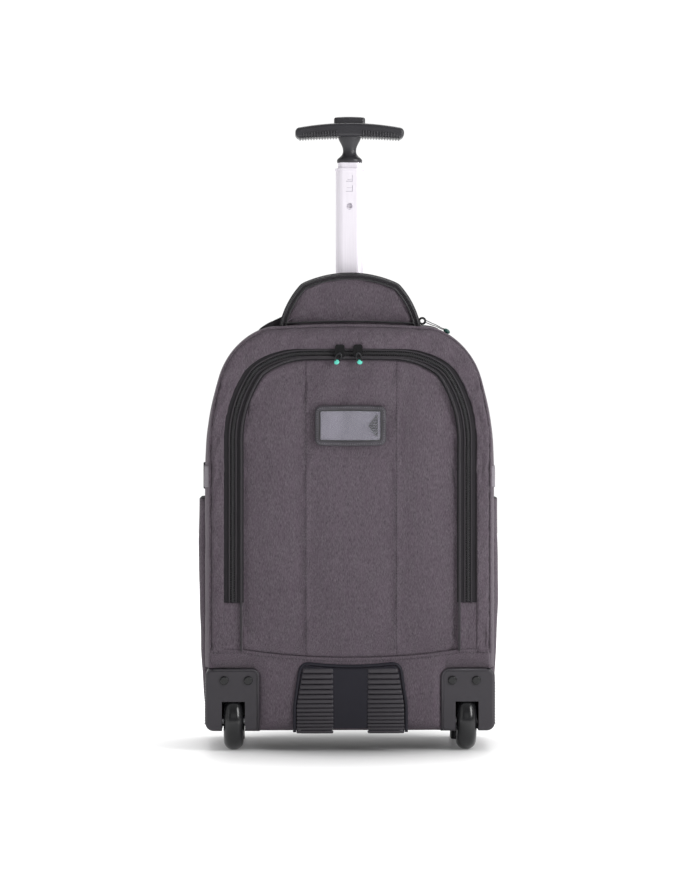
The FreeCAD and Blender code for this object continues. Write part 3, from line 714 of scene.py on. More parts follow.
def settle(piece, pins, pressure, cap):
    """Inflate an open cloth held at its pins, and cap how far any point may go."""
    rest = [v.co.copy() for v in piece.data.vertices]
    group = piece.vertex_groups.new(name="pins")
    group.add(pins, 1.0, "REPLACE")
    cloth = piece.modifiers.new("cloth", "CLOTH")
    cloth.settings.quality = 5
    cloth.settings.mass = 0.2
    cloth.settings.tension_stiffness = cloth.settings.compression_stiffness = 14
    cloth.settings.shear_stiffness = 6
    cloth.settings.bending_stiffness = 0.8
    cloth.settings.air_damping = 4
    cloth.settings.shrink_min = SHRINK
    cloth.settings.use_pressure = True
    cloth.settings.uniform_pressure_force = pressure
    cloth.settings.vertex_group_mass = "pins"
    cloth.settings.effector_weights.gravity = 0
    cloth.point_cache.frame_start, cloth.point_cache.frame_end = 1, SETTLE_FRAMES
    for frame_number in range(1, SETTLE_FRAMES + 1):
        bpy.context.scene.frame_set(frame_number)
    pick(piece)
    bpy.ops.object.modifier_apply(modifier="cloth")
    bpy.context.scene.frame_set(1)
    moved = 0.0
    for vertex, home in zip(piece.data.vertices, rest):
        step = vertex.co - home
        if step.length > cap:
            vertex.co = home + step * (cap / step.length)
        moved = max(moved, (vertex.co - home).length)
    piece.vertex_groups.clear()
    print(f"{piece.name}: settled, moved up to {moved * 1000:.1f} mm")


def columns_of(half, seams, step):
    """Column places across a panel: close at its edges, exact on its seams."""
    stops = [-half] + sorted(seams) + [half]
    places = []
    for a, b in zip(stops, stops[1:]):
        n = max(2, round((b - a) / step))
        places += [a + (b - a) * k / n for k in range(n)]
    places.append(half)
    edge = [half - EDGE_STEP * k for k in (0.4, 1, 1.8, 2.8)]
    beside = [s + d * MM for s in seams for d in (-3.2, -1.2, 1.2, 3.2)]
    return sorted(set(round(p, 5) for p in places + beside + edge + [-e for e in edge]))


def pad_panel(name, line, foot, seams, face_y, back_y, material, body, swell, pressure, cap,
              step=0.006, rows=58, roll=0.007, dent=None, held=None):
    """Padded panel under an arch; it faces -Y when face_y is in front of back_y, or else +Y."""
    way = 1 if face_y < back_y else -1
    half = max(abs(x) for x, _ in line)
    places = columns_of(half, seams, step)
    front, back = [], []
    for x in places:
        top, low = height_at(line, x), foot(x)
        for r in range(rows):
            v = r / (rows - 1)
            z = low + (top - low) * v
            away = min(half_at(line, z) - abs(x), top - z, z - low)
            near_seam = min([abs(x - s) for s in seams] or [1.0])
            crown = 1 - (1 - min(max(away, 0) / roll, 1)) ** 2
            puff = swell * min(1, near_seam / 0.024) ** 0.5 * min(1, max(away, 0) / 0.03) ** 0.7
            lift = (abs(back_y - face_y) - swell) * (0.35 + 0.65 * crown)
            if dent:
                puff -= dent(x, z)
            front.append((x, back_y - way * (lift + (puff if away > 0 else 0)), z))
            back.append((x, back_y, z))
    count = len(places)
    faces = grid_faces(count, rows)
    if way < 0:
        faces = flipped(faces)
    sheet = new_piece(name, front, faces, material, None)
    total = count * rows
    rim = [k for k in range(total) if k % rows in (0, rows - 1) or k // rows in (0, count - 1)]
    sewn = [k for k in range(total) if min([abs(places[k // rows] - s) for s in seams] or [1]) < 1e-4]
    if held:
        sewn += [k for k, p in enumerate(front) if held(p[0], p[2])]
    settle(sheet, sorted(set(rim + sewn)), pressure, cap)
    settled = [tuple(v.co) for v in sheet.data.vertices]
    bpy.data.objects.remove(sheet)
    ring = [c * rows for c in range(count)] + [(count - 1) * rows + r for r in range(1, rows)]
    ring += [c * rows + rows - 1 for c in range(count - 2, -1, -1)] + list(range(rows - 2, 0, -1))
    walls = [(a, b, b + total, a + total) for a, b in zip(ring, ring[1:] + ring[:1])]
    behind = [tuple(total + v for v in f) for f in flipped(faces)]
    if way < 0:
        walls = flipped(walls)
    piece = new_piece(name, settled + back, faces + behind + walls, material, body)
    outward(piece)
    piece.data.shade_smooth()
    return piece, places, settled, rows


# %% [markdown]
# ## The zipped front panel
# The panel is as tall as the case and quilted in three. Its foot dips in the middle, where it meets the
# lower band. The tape round it is wide at the sides and narrow over the top, because the arch pulls it
# under the facing there.

# %% Front panel
SEAMS = (-0.048, 0.050)
FOOT_ENDS = OPEN_FOOT - 4.5 * MM
FOOT_DIP = 9.0 * MM


def foot_seam(x):
    """Height of the curved seam between the front and the lower band."""
    return FOOT_ENDS - FOOT_DIP * max(0.0, 1 - (abs(x) / 0.118) ** 2.2)


def band_half(normal):
    """Half width of the zip band: wide on the sides, narrow over the top."""
    return 4.6 * MM + 4.8 * MM * abs(normal[0]) ** 0.8


opening = opening_arch(0, OPEN_FOOT, 240)
opening_normals = arch_normals(opening)
flap_line, facing_line = ([(p[0] + side * n[0] * band_half(n), p[1] + side * n[1] * band_half(n))
                           for p, n in zip(opening, opening_normals)] for side in (-1, 1))
for line, foot in ((flap_line, FOOT_ENDS), (facing_line, FOOT_ENDS - 1 * MM)):
    for end in (0, -1):
        line[end] = (line[end][0], foot)
hold_lo, hold_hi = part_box("id_holder_frame")


def hold_away(x, z):
    """Distance outside the card holder's outline, negative within it."""
    return max(abs(x) - hold_hi.x, hold_lo.z - z, z - hold_hi.z)


flap, flap_columns, flap_front, flap_rows = pad_panel(
    "front_panel_cloth", flap_line, foot_seam, SEAMS, FLAP_Y - 1.5 * MM, FACE_Y + 2.5 * MM, melange, "front_flap",
    swell=4.4 * MM, pressure=3.5, cap=3.5 * MM,
    dent=lambda x, z: 2.6 * MM * min(1, max(0, 1 - hold_away(x, z) / 0.014)),
    held=lambda x, z: hold_away(x, z) < -1.5 * MM)
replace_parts(flap, "front_flap")

# %% Quilting thread, near black and almost unbroken, partly painted shade of the seam


def sheet_line(columns, points, rows, x):
    """Points of a settled sheet along the column at x."""
    k = min(range(len(columns)), key=lambda c: abs(columns[c] - x))
    return points[k * rows + 1:(k + 1) * rows - 1]


# The quilting stitches are near black, thick and almost touching: a dark line that is partly thread and partly
# painted shade of the seam's valley.
quilt_thread_and_seam_shade = [stitches(f"quilting_thread_and_seam_shade_{k}", sheet_line(flap_columns, flap_front, flap_rows, s),
                  2.6 * MM, 0.5 * MM, 0.55 * MM, "front_flap", 0.45 * MM) for k, s in enumerate(SEAMS)]
join("quilting_thread_and_seam_shade", quilt_thread_and_seam_shade, "front_flap")
edge_path = [(x, FACE_Y - 2.9 * MM, z) for x, z in offset_line(flap_line, 0.1 * MM)]
edge_bind = swept("panel_edge_binding", edge_path, round_section(1.1 * MM, 6), piping_cloth, "front_flap")
print("front panel", len(flap.data.polygons), "faces")

# %% [markdown]
# ## The fixed facing round the opening
# Between the piped front seam and the zip lies a padded facing. Its inner edge is rolled over the tape
# and shades it, which is what makes the zip look sunk.

# %% Facing
FACING_STEPS = 15


def ring_panel(name, outer, inner, profile, material, body, thickness, pressure, cap):
    """Padded strip between two arches; profile(t) gives its depth at a share t from the outer line."""
    verts = []
    for p, q in zip(outer, inner):
        for k in range(FACING_STEPS):
            t = k / (FACING_STEPS - 1)
            verts.append((p[0] + (q[0] - p[0]) * t, profile(t), p[1] + (q[1] - p[1]) * t))
    faces = grid_faces(len(outer), FACING_STEPS)
    sheet = new_piece(name, verts, faces, material, None)
    ends = [k for k in range(len(verts)) if k % FACING_STEPS in (0, FACING_STEPS - 1)
            or k // FACING_STEPS in (0, len(outer) - 1)]
    settle(sheet, ends, pressure, cap)
    apply_modifier(sheet, "SOLIDIFY", thickness=thickness, offset=-1.0)
    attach(sheet, body)
    sheet.data.shade_smooth()
    return sheet


def facing_profile(t):
    """Rises from the piped seam, is full in the middle and rolls down over the zip."""
    rise = math.sin(min(t / 0.25, 1) * math.pi / 2)
    fall = 1 if t < 0.85 else 1 - 0.3 * ((t - 0.85) / 0.15) ** 2
    return FACE_Y + 2.6 * MM - 5.4 * MM * rise * (0.35 + 0.65 * fall)


front_seam = resample(body_arch(SEAM_INSET - 0.5 * MM, FOOT_ENDS - 2 * MM, 240), 240)
facing = ring_panel("facing_cloth", front_seam, facing_line, facing_profile, melange, "case",
                    thickness=1.6 * MM, pressure=2.5, cap=2 * MM)
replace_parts(facing, "front_frame")
piping_path = [(x, FACE_Y + 1.6 * MM, z) for x, z in offset_line(front_seam, 0.4 * MM)]
piping = swept("front_seam_piping", piping_path, round_section(1.5 * MM, 8), melange, "case")
print("facing", len(facing.data.polygons), "faces")

# %% [markdown]
# ## Zips
# A zip is two woven tapes, each with half of a nylon coil sewn along its edge. The coil is a spiral, so
# seen from the front every turn is a short bar across the edge, and the two halves lie alternately. One
# bar is shaped once and laid along the arch by a loop. The tape of the case stays, that of the panel
# swings with it.

# %% Zip helpers
COIL_PITCH = 1.9 * MM
TOOTH = [(-2.3, 0.0, 0.42), (-1.1, 0.75, 0.5), (0.2, 0.8, 0.5), (0.75, 0.1, 0.4)]   # across, out, radius, mm
TOOTH_SIDES = 6


def tape_strip(name, outer, inner, outer_y, inner_y, thickness, body):
    """Flat tape between two arches."""
    verts = []
    for p, q in zip(outer, inner):
        for side, y in ((p, outer_y), (q, inner_y)):
            verts.append((side[0], y, side[1]))
        for side, y in ((q, inner_y), (p, outer_y)):
            verts.append((side[0], y + thickness, side[1]))
    faces = grid_faces(len(outer), 4, closed_columns=True)
    last = (len(outer) - 1) * 4
    faces += [(0, 1, 2, 3), (last, last + 1, last + 2, last + 3)]
    piece = outward(new_piece(name, verts, faces, zip_cloth, body, smooth=False))
    return piece


def coil_half(name, line, side, y, body):
    """Half a zip coil along an arch; side is +1 for the outer tape, half a pitch on, and -1 for the inner."""
    total = sum(math.dist(p, q) for p, q in zip(line, line[1:]))
    steps = int(total / COIL_PITCH)
    points = resample(line, steps * 2 + 1)
    verts, faces = [], []
    for k in range(2 if side > 0 else 1, 2 * steps - 1, 2):
        p, q, r = points[k - 1], points[k], points[k + 1]
        tx, tz = r[0] - p[0], r[1] - p[1]
        length = math.hypot(tx, tz)
        tangent = Vector((tx / length, 0, tz / length))
        outwards = Vector((-tangent.z, 0, tangent.x)) * side
        lift = Vector((0, -1, 0))
        base = len(verts)
        for across, out, radius in TOOTH:
            middle = Vector((q[0], y, q[1])) - outwards * (across * MM) + lift * (out * MM)
            for corner in range(TOOTH_SIDES):
                turn = 2 * math.pi * corner / TOOTH_SIDES
                verts.append(tuple(middle + tangent * (radius * MM * math.cos(turn))
                                   + lift * (radius * MM * math.sin(turn))))
        faces += [tuple(base + v for v in f) for f in grid_faces(len(TOOTH), TOOTH_SIDES, closed_columns=True)]
        end = base + (len(TOOTH) - 1) * TOOTH_SIDES
        faces += [tuple(range(base, base + TOOTH_SIDES)), tuple(range(end + TOOTH_SIDES - 1, end - 1, -1))]
    piece = new_piece(name, verts, faces, coil_nylon, body)
    return outward(piece)


def above(line, other, z):
    """The parts of two matching arches whose first line lies above a height."""
    kept = [(p, q) for p, q in zip(line, other) if p[1] >= z]
    return [p for p, q in kept], [q for p, q in kept]


# %% Front zip
ZIP_FOOT = OPEN_FOOT + 48 * MM
ZIP_Y = FACE_Y - 0.4 * MM
mid_line, outer_edge = above(opening, offset_line(facing_line, 2.5 * MM), ZIP_FOOT)
_, inner_edge = above(opening, offset_line(flap_line, -2.5 * MM), ZIP_FOOT)
case_tape = tape_strip("front_zip_tape_case", outer_edge, offset_line(mid_line, 0.5 * MM), ZIP_Y + 0.4 * MM,
                       ZIP_Y, 0.7 * MM, "case")
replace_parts(case_tape, "front_zip_outer_tape")
panel_tape = tape_strip("front_zip_tape_panel", offset_line(mid_line, -0.5 * MM), inner_edge, ZIP_Y,
                        ZIP_Y - 0.9 * MM, 0.7 * MM, "front_flap")
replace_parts(panel_tape, "front_zip_inner_tape")
for label, side, body in (("case", 1, "case"), ("panel", -1, "front_flap")):
    coil_half("front_zip_coil_" + label, mid_line, side, ZIP_Y - 0.5 * MM, body)
    cord_line = [(x, ZIP_Y - 0.9 * MM, z) for x, z in offset_line(mid_line, side * 3.6 * MM)]
    ridge = swept("front_zip_ridge_" + label, cord_line, flat_section(1.6 * MM, 1.5 * MM), piping_cloth, body)
print("front zip laid along", len(mid_line), "points")

# %% [markdown]
# ### Where the zip ends
# Below the zip a plain strip of cloth joins the panel to the facing on each side. On the case it bends
# when the panel swings; here it is a fixed piece that rides on neither body.

# %% Gores at the zip's feet
for side, name in ((-1, "left"), (1, "right")):
    inner_x, outer_x = side * (abs(flap_line[0][0]) - 1.5 * MM), side * (abs(facing_line[0][0]) + 2 * MM)
    verts, columns, levels = [], 13, 15
    for r in range(levels):
        z = FOOT_ENDS - 1.0 * MM + (ZIP_FOOT + 1.0 * MM - FOOT_ENDS) * r / (levels - 1)
        for c in range(columns):
            t = c / (columns - 1)
            hollow = 1.2 * MM * math.sin(math.pi * t)
            verts.append((inner_x + (outer_x - inner_x) * t, FACE_Y - 1.6 * MM + hollow, z))
    faces = grid_faces(levels, columns)
    gore = new_piece("zip_foot_gore_" + name, verts, faces if side > 0 else flipped(faces), melange, None)
    apply_modifier(gore, "SOLIDIFY", thickness=1.4 * MM, offset=-1.0)
    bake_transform(gore)

# %% [markdown]
# ## The lower band
# Below the front seam a band of the same cloth runs down behind the scuff plate and turns under the case.
# It is lofted from a side profile, and its top edge follows the curved seam of the panel.

# %% Lower band
BELLY = 14 * MM
BAND_FACE = FACE_Y + 0.6 * MM
LOWER_WALL = 2.4 * MM
_, band_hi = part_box("lower_band")


def lower_profile(x):
    """Points (y, z) from the seam down the front and under the foot."""
    top = foot_seam(x) + 1.5 * MM
    points = [(BAND_FACE + 1.6 * MM, top + 0.4 * MM), (BAND_FACE - 2.0 * MM, top + 0.5 * MM),
              (BAND_FACE - 2.6 * MM, top - 0.5 * MM), (BAND_FACE - 2.2 * MM, top - 2.0 * MM)]
    for k in range(3, 13):
        z = top - 2 * MM + (BODY_FOOT + BELLY - top + 2 * MM) * k / 12
        points.append((BAND_FACE - 0.9 * MM * math.sin(math.pi * k / 12), z))
    for k in range(1, 9):
        turn = math.pi / 2 * k / 8
        points.append((BAND_FACE + BELLY * (1 - math.cos(turn)), BODY_FOOT + BELLY * (1 - math.sin(turn))))
    points += [(BAND_FACE + BELLY + 5 * MM, BODY_FOOT), (band_hi.y, BODY_FOOT)]
    return points


def beside_housing(x, z):
    """Distance outside the rounded front outline of the nearer wheel housing, negative within it."""
    round_off = 9 * MM
    dx, dz = housing_lo.x + round_off - abs(x), z - (housing_top - round_off)
    if dx > 0 and dz > 0:
        return math.hypot(dx, dz) - round_off
    return max(dx, dz) - round_off


verts, stations = [], 181
LOWER_HALF = band_hi.x + 0.8 * MM
for c in range(stations):
    x = -LOWER_HALF + 2 * LOWER_HALF * c / (stations - 1)
    edge = max(0.0, abs(x) - (LOWER_HALF - 5 * MM)) / (5 * MM)
    for y, z in lower_profile(x):
        ripple = 0.45 * MM * ruffle((x, 0, z), 30, 2)
        out = y + ripple + 3.2 * MM * (1 - math.sqrt(max(0.0, 1 - edge ** 2)))
        tuck = 1 - min(1, max(0, beside_housing(x, z) - 0.5 * MM) / (9 * MM))
        verts.append((x, out + max(0, housing_lo.y + 1.5 * MM - out) * tuck ** 2, z))
per_station = len(verts) // stations
cover = [f for f in grid_faces(stations, per_station)
         if min(beside_housing(verts[v][0], verts[v][2]) for v in f) > -4.5 * MM]
lower = new_piece("lower_band_cloth", verts, cover, melange, None)
apply_modifier(lower, "SOLIDIFY", thickness=LOWER_WALL, offset=-1.0)
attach(lower, "case")
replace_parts(lower, "lower_band")
seam_path = [(x, BAND_FACE - 3.0 * MM, foot_seam(x) - 1.8 * MM)
             for x in [LOWER_HALF * (k / 60 - 1) * 0.985 for k in range(121)]]
seam_thread = stitches("lower_band_stitching", seam_path, 2.4 * MM, 1.3 * MM, 0.42 * MM, "case", 0.3 * MM)
print("lower band", len(lower.data.polygons), "faces")

# %% [markdown]
# ## Hard parts built by hand
# Moulded and metal details start as a primitive, are sized, eased with a bevel and joined with their
# neighbours. The next helper does the first three steps, the one after it the last.

# %% Hard-part helpers


def solid(kind, place, dims, turn=(0, 0, 0), bevel=0.0, segments=2, **settings):
    """Primitive sized and placed in metres, with eased edges."""
    for other in bpy.context.selected_objects:
        other.select_set(False)
    getattr(bpy.ops.mesh, f"primitive_{kind}_add")(**settings)
    made = bpy.context.object
    made.scale, made.rotation_euler, made.location = dims, turn, place
    bpy.ops.object.transform_apply(location=True, rotation=True, scale=True)
    if bevel:
        bpy.ops.object.mode_set(mode="EDIT")
        bpy.ops.mesh.select_all(action="SELECT")
        bpy.ops.mesh.bevel(offset=bevel, segments=segments, affect="EDGES")
        bpy.ops.object.mode_set(mode="OBJECT")
    return made


def block(place, dims, turn=(0, 0, 0), bevel=0.0, segments=2):
    return solid("cube", place, dims, turn, bevel, segments, size=1)


def built(name, parts, material, body, angle=40):
    """Join hard parts of one finish, shade them and let them ride on a body."""
    whole = join(name, parts, body)
    pick(whole)
    bpy.ops.object.shade_smooth_by_angle(angle=math.radians(angle))
    whole.data.materials.clear()
    whole.data.materials.append(material)
    return whole


# %% [markdown]
# ## The scuff plate
# Two pads of rounded bars flank a smooth centre. The bars lie closer towards the foot, and each is cut to
# the plate's leaning side. A double bead of piping frames the plate and sags with its top edge.

# %% Scuff plate
plate_lo, plate_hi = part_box("skid_piping")
PLATE_Y = plate_lo.y
PLATE_TOP, PLATE_FOOT = plate_hi.z, plate_lo.z
CENTRE_HALF = 18.5 * MM
BAR_GROWTH = 0.2 * MM               # each bar is this much taller than the one below


def plate_half(z):
    """Half width of the scuff plate at a height."""
    lean = min(max((z - PLATE_FOOT - 30 * MM) / 36e-3, 0), 1)
    return plate_hi.x - 6.5 * MM * lean


bars, z, pitch = [], PLATE_FOOT - 0.2 * MM, 3.2 * MM
while z < PLATE_TOP - 6 * MM:
    inner, outer = CENTRE_HALF, plate_half(z) - 2.8 * MM
    for side in (-1, 1):
        bars.append(block((side * (inner + outer) / 2, PLATE_Y + 0.9 * MM, z),
                          (outer - inner, 3.8 * MM, pitch * 0.97), bevel=pitch * 0.36, segments=3))
    pitch += BAR_GROWTH
    z += pitch
bar_piece = built("scuff_bars", bars, housing_plastic, "case", 60)
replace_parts(bar_piece, "skid_ribs")
pads = [block((side * (CENTRE_HALF + plate_half(0)) / 2 - side * 3 * MM, PLATE_Y + 1.6 * MM,
               PLATE_FOOT + 31 * MM), (plate_half(0) - CENTRE_HALF - 9 * MM, 2 * MM, 66 * MM),
              bevel=0.6 * MM) for side in (-1, 1)]
built("scuff_pads", pads, skid_plastic, "case")


def plate_outline(inset):
    """Points round the sides and the sagging top of the plate."""
    half, foot, top, sag = plate_half(0) - inset, PLATE_FOOT - 0.5 * MM, PLATE_TOP - inset, 3.2 * MM
    narrow = plate_half(PLATE_TOP) - inset
    right = [(half, foot), (half, foot + 28 * MM), (narrow + 1.2 * MM, top - 9 * MM),
             (narrow - 0.6 * MM, top - 3.4 * MM), (plate_half(1) - inset - 4 * MM, top - 0.4 * MM)]
    right += [(x * MM, top - sag * (1 - (x / 47) ** 2)) for x in range(44, 0, -4)]
    return arch(right + [(0, top - sag)], 110)


beads = []
for inset, radius in ((0.6, 1.7), (3.6, 1.0)):
    path = [(x, PLATE_Y + 1.1 * MM, z) for x, z in plate_outline(inset * MM)]
    beads.append(swept(f"scuff_bead_{inset}", path, round_section(radius * MM, 8), skid_plastic, None))
bead = join("scuff_piping", beads, "case")
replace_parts(bead, "skid_piping")

# %% [markdown]
# ## Wheel housings
# The moulded blocks of the CAD model stay. A lip runs round each top and inner edge and fine ribs wrap the
# outer edge.

# %% Housing lips and edge ribs
for side, name in ((-1, "left"), (1, "right")):
    lo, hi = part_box("wheel_housing_" + name)
    inner, outer = (lo.x, hi.x) if side > 0 else (hi.x, lo.x)
    corner = 9 * MM
    route = [(inner + side * 1.6 * MM, lo.z + 1.5 * MM), (inner + side * 1.6 * MM, hi.z - corner)]
    for k in range(1, 8):
        turn = math.pi / 2 * k / 8
        route.append((inner + side * (corner - (corner - 1.6 * MM) * math.cos(turn)),
                      hi.z - corner + (corner - 1.6 * MM) * math.sin(turn)))
    route += [(inner + side * corner, hi.z - 1.6 * MM), (outer - side * corner, hi.z - 1.6 * MM)]
    lip = swept("housing_lip_" + name, [(x, lo.y + 0.5 * MM, z) for x, z in route], round_section(1.6 * MM, 8),
                housing_plastic, "case")
    ribs = [block((outer + side * 0.1 * MM, lo.y + 14 * MM, lo.z + (8 + 3.1 * k) * MM),
                  (1.5 * MM, 20 * MM, 1.5 * MM), bevel=0.6 * MM) for k in range(15)]
    built("housing_edge_ribs_" + name, ribs, housing_plastic, "case")
print("base details done")

# %% [markdown]
# ## The hood
# A half-moon pocket stands behind the front panel and hides the grip when the handle is down. Its cloth is
# padded, its edge is a zip tape with a stitched inner line, and it creases where it meets the shoulders.

# %% Hood
hood_lo, hood_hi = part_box("hood_zip_tape")
HOOD_Y = hood_lo.y
SHOULDER_Z = 0.4                    # the parts of the outline above this belong to the case's top
ROOF_POINTS = 400
half, foot_z, apex = hood_hi.x + 2 * MM, hood_lo.z, hood_hi.z + 1.5 * MM
hood_side = [(half, foot_z), (half - 5.5 * MM, foot_z + 18 * MM), (half - 24 * MM, apex - 12 * MM)]
hood_right = arc_points(*hood_side, 14)
hood_right += arc_points(hood_side[2], (0, apex), (-hood_side[2][0], hood_side[2][1]), 24)[:12] + [(0, apex)]
hood_line = arch(hood_right, 130)
hood_inner = offset_line(hood_line, -5.2 * MM)


def hood_crease(x, z):
    """Shallow diagonal folds at the foot of the hood."""
    left = math.exp(-(((x + 0.047) * 0.8 + (z - foot_z - 0.016)) / 0.0035) ** 2) * (x < -0.02)
    right = math.exp(-(((x - 0.050) * 0.7 - (z - foot_z - 0.013)) / 0.003) ** 2) * (x > 0.03)
    low = max(0.0, 1 - (z - foot_z) / 0.034)
    return (3.4 * MM * left + 2.6 * MM * right) * low + 0.35 * MM * ruffle((x, 0, z), 34, 3)


hood, *_ = pad_panel(
    "hood_cloth", hood_inner, lambda x: foot_z + 1 * MM, (), HOOD_Y - 1.5 * MM, HOOD_Y + 5 * MM, melange, "hood",
    swell=2.8 * MM, pressure=3.0, cap=3 * MM, rows=34, dent=hood_crease,
    held=lambda x, z: hood_crease(x, z) > 1.3 * MM)
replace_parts(hood, "hood_panel")
tape_path = [(x, HOOD_Y + 2.6 * MM, z) for x, z in offset_line(hood_line, -3.7 * MM)]
hood_tape = swept("hood_zip_tape_band", tape_path, flat_section(7.4 * MM, 6.6 * MM), zip_cloth, "hood")
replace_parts(hood_tape, "hood_zip_tape")
for label, inset, radius in (("coil", 2.4, 1.0), ("seam", 6.8, 0.9)):
    path = [(x, HOOD_Y - 0.9 * MM, z) for x, z in offset_line(hood_line, -inset * MM)]
    cord = swept("hood_zip_" + label, path, round_section(radius * MM, 6), coil_nylon, "hood")
thread_path = [(x, HOOD_Y - 0.9 * MM, z) for x, z in offset_line(hood_line, -4.8 * MM)]
hood_thread = stitches("hood_stitching", thread_path, 2.2 * MM, 1.2 * MM, 0.25 * MM, "hood")
rear_lo, rear_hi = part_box("hood_rear_tape")
roof_line = [(x, z) for x, z in body_arch(-2.0 * MM, BAND_FOOT, ROOF_POINTS)
             if abs(x) < 99 * MM and z > SHOULDER_Z]
rear_tape = swept("hood_rear_tape_band", [(x, (rear_lo.y + rear_hi.y) / 2, z) for x, z in roof_line],
                  flat_section(1.6 * MM, 12 * MM), zip_cloth, "case")
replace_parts(rear_tape, "hood_rear_tape")
base_path = [(x, HOOD_Y - 1.6 * MM, z + 0.6 * MM) for x, z in body_arch(-1.2 * MM, BAND_FOOT, ROOF_POINTS)
             if abs(x) < 72 * MM and z > SHOULDER_Z]
swept("hood_base_seam", base_path, round_section(0.9 * MM, 6), coil_nylon, "case")

# The hood's tape ends in a tail that tapers away along the left shoulder.
TAIL_STEPS, TAIL_LONG, TAIL_TALL = 12, 29 * MM, 10.5 * MM
TAIL_FRONT, TAIL_BACK = HOOD_Y + 6.2 * MM, HOOD_Y + 15 * MM
roof = body_arch(-0.4 * MM, BAND_FOOT, ROOF_POINTS)
wedge = []
for k in range(TAIL_STEPS):
    share = k / (TAIL_STEPS - 1)
    x = -(half - 6 * MM + TAIL_LONG * share)
    base = height_at(roof, x)
    crest, root = base + TAIL_TALL * (1 - share) ** 1.2 + 0.3 * MM, base - 1 * MM
    wedge += [(x, TAIL_FRONT, crest), (x, TAIL_BACK, crest), (x, TAIL_BACK, root), (x, TAIL_FRONT, root)]
last = 4 * (TAIL_STEPS - 1)
wedge_faces = grid_faces(TAIL_STEPS, 4, closed_columns=True) + [(3, 2, 1, 0), tuple(last + v for v in range(4))]
tail = outward(new_piece("hood_tape_tail", wedge, wedge_faces, zip_cloth, "case", smooth=False))
print("hood", len(hood.data.polygons), "faces")

# %% [markdown]
# ## The card holder
# A leatherette frame is glued and stitched to the panel. Its long sides bow out a little. The card slides
# out to the right by a ribbed tab whose end is cut to a chevron.

# %% Card holder
HOLD_W, HOLD_H = (hold_hi.x - hold_lo.x) / 2, (hold_hi.z - hold_lo.z) / 2 - 1.2 * MM
HOLD_Z = (hold_lo.z + hold_hi.z) / 2
HOLD_ROUND = 6 * MM
HOLD_BOW = 0.055                    # share by which the long sides bow out


def holder_loop(inset, y):
    """Closed outline of the holder, moved in by an inset, at a depth."""
    w, h, r = HOLD_W - inset, HOLD_H - inset, max(HOLD_ROUND - inset, 1.2 * MM)
    points = []
    for cx, cz, start in ((w - r, h - r, 0), (r - w, h - r, 90), (r - w, r - h, 180), (w - r, r - h, 270)):
        turns = [math.radians(start + a) for a in range(0, 91, 15)]
        points += [(cx + r * math.cos(turn), cz + r * math.sin(turn)) for turn in turns]
    loop = resample(points + points[:1], 97)[:-1]
    return [(x, y, HOLD_Z + z * (1 + HOLD_BOW * (1 - (x / w) ** 2))) for x, z in loop]


top_y = hold_lo.y - 0.6 * MM
loops = [holder_loop(inset * MM, y) for inset, y in (
    (0, hold_hi.y), (0, top_y + 1.2 * MM), (0.7, top_y + 0.3 * MM), (1.6, top_y), (4.4, top_y),
    (5.3, top_y + 0.4 * MM), (5.7, top_y + 1.0 * MM), (5.7, hold_hi.y))]
count = len(loops[0])
ring = outward(new_piece("holder_frame", [p for loop in loops for p in loop],
                         grid_faces(len(loops), count, closed_rows=True, closed_columns=True), leatherette,
                         "front_flap"))
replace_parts(ring, "id_holder_frame")
holder_thread = stitches("holder_stitching", holder_loop(2.2 * MM, top_y), 1.5 * MM, 1.0 * MM, 0.26 * MM,
                         "front_flap", 0.1 * MM, pale_thread)
# A near-black ring along the frame's inner edge: painted shadow where the frame meets the card.
holder_shadow_ring = swept("holder_inner_shadow_ring", holder_loop(5.2 * MM, top_y + 0.3 * MM),
                   round_section(0.75 * MM, 6), coil_nylon, "front_flap", closed=True)
card_lo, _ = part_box("id_card")
tab_front, TAB_DEEP, TAB_END = card_lo.y - 0.45 * MM, 0.9 * MM, 28.6 * MM
ribs = []
for k in range(-3, 4):
    start = (20.6 + 2.3 * abs(k)) * MM
    ribs.append(block(((start + TAB_END) / 2, tab_front, HOLD_Z + k * 3.0 * MM),
                      (TAB_END - start, TAB_DEEP, 2.3 * MM), bevel=0.4 * MM))
ribs += [block((x * MM, tab_front, HOLD_Z), (w * MM, TAB_DEEP, 24 * MM), bevel=0.3 * MM)
         for x, w in ((28.8, 1.2), (33.0, 0.7))]
built("card_tab_ribs", ribs, pull_black, "id_card")
chevron = [block((24.2 * MM, tab_front - 0.2 * MM, HOLD_Z + s * 5.6 * MM), (13.8 * MM, TAB_DEEP, 1.5 * MM),
                 (0, -s * math.radians(54), 0), 0.3 * MM) for s in (-1, 1)]
built("card_chevron", chevron, buckle_plastic, "id_card")
film_lo, film_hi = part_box("id_window")
window = block(((film_lo.x + film_hi.x) / 2, tab_front - 1.1 * MM, (film_lo.z + film_hi.z) / 2),
               (film_hi.x - film_lo.x, 0.3 * MM, film_hi.z - film_lo.z))
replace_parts(built("card_window_film", [window], clear_film, "front_flap"), "id_window")
print("card holder done")

# %% [markdown]
# ## Zip sliders and pulls
# The enamelled sliders are CAD parts. Each pull is a short black loop through the slider's bail and ends
# in a soft oval grip: mint in front, dark green on the hood.

# %% Pulls


def oval_grip(place, dims, turn):
    """Soft oval grip, not yet dressed."""
    return solid("uv_sphere", place, dims, (0, turn, 0), segments=24, ring_count=14, radius=0.5)


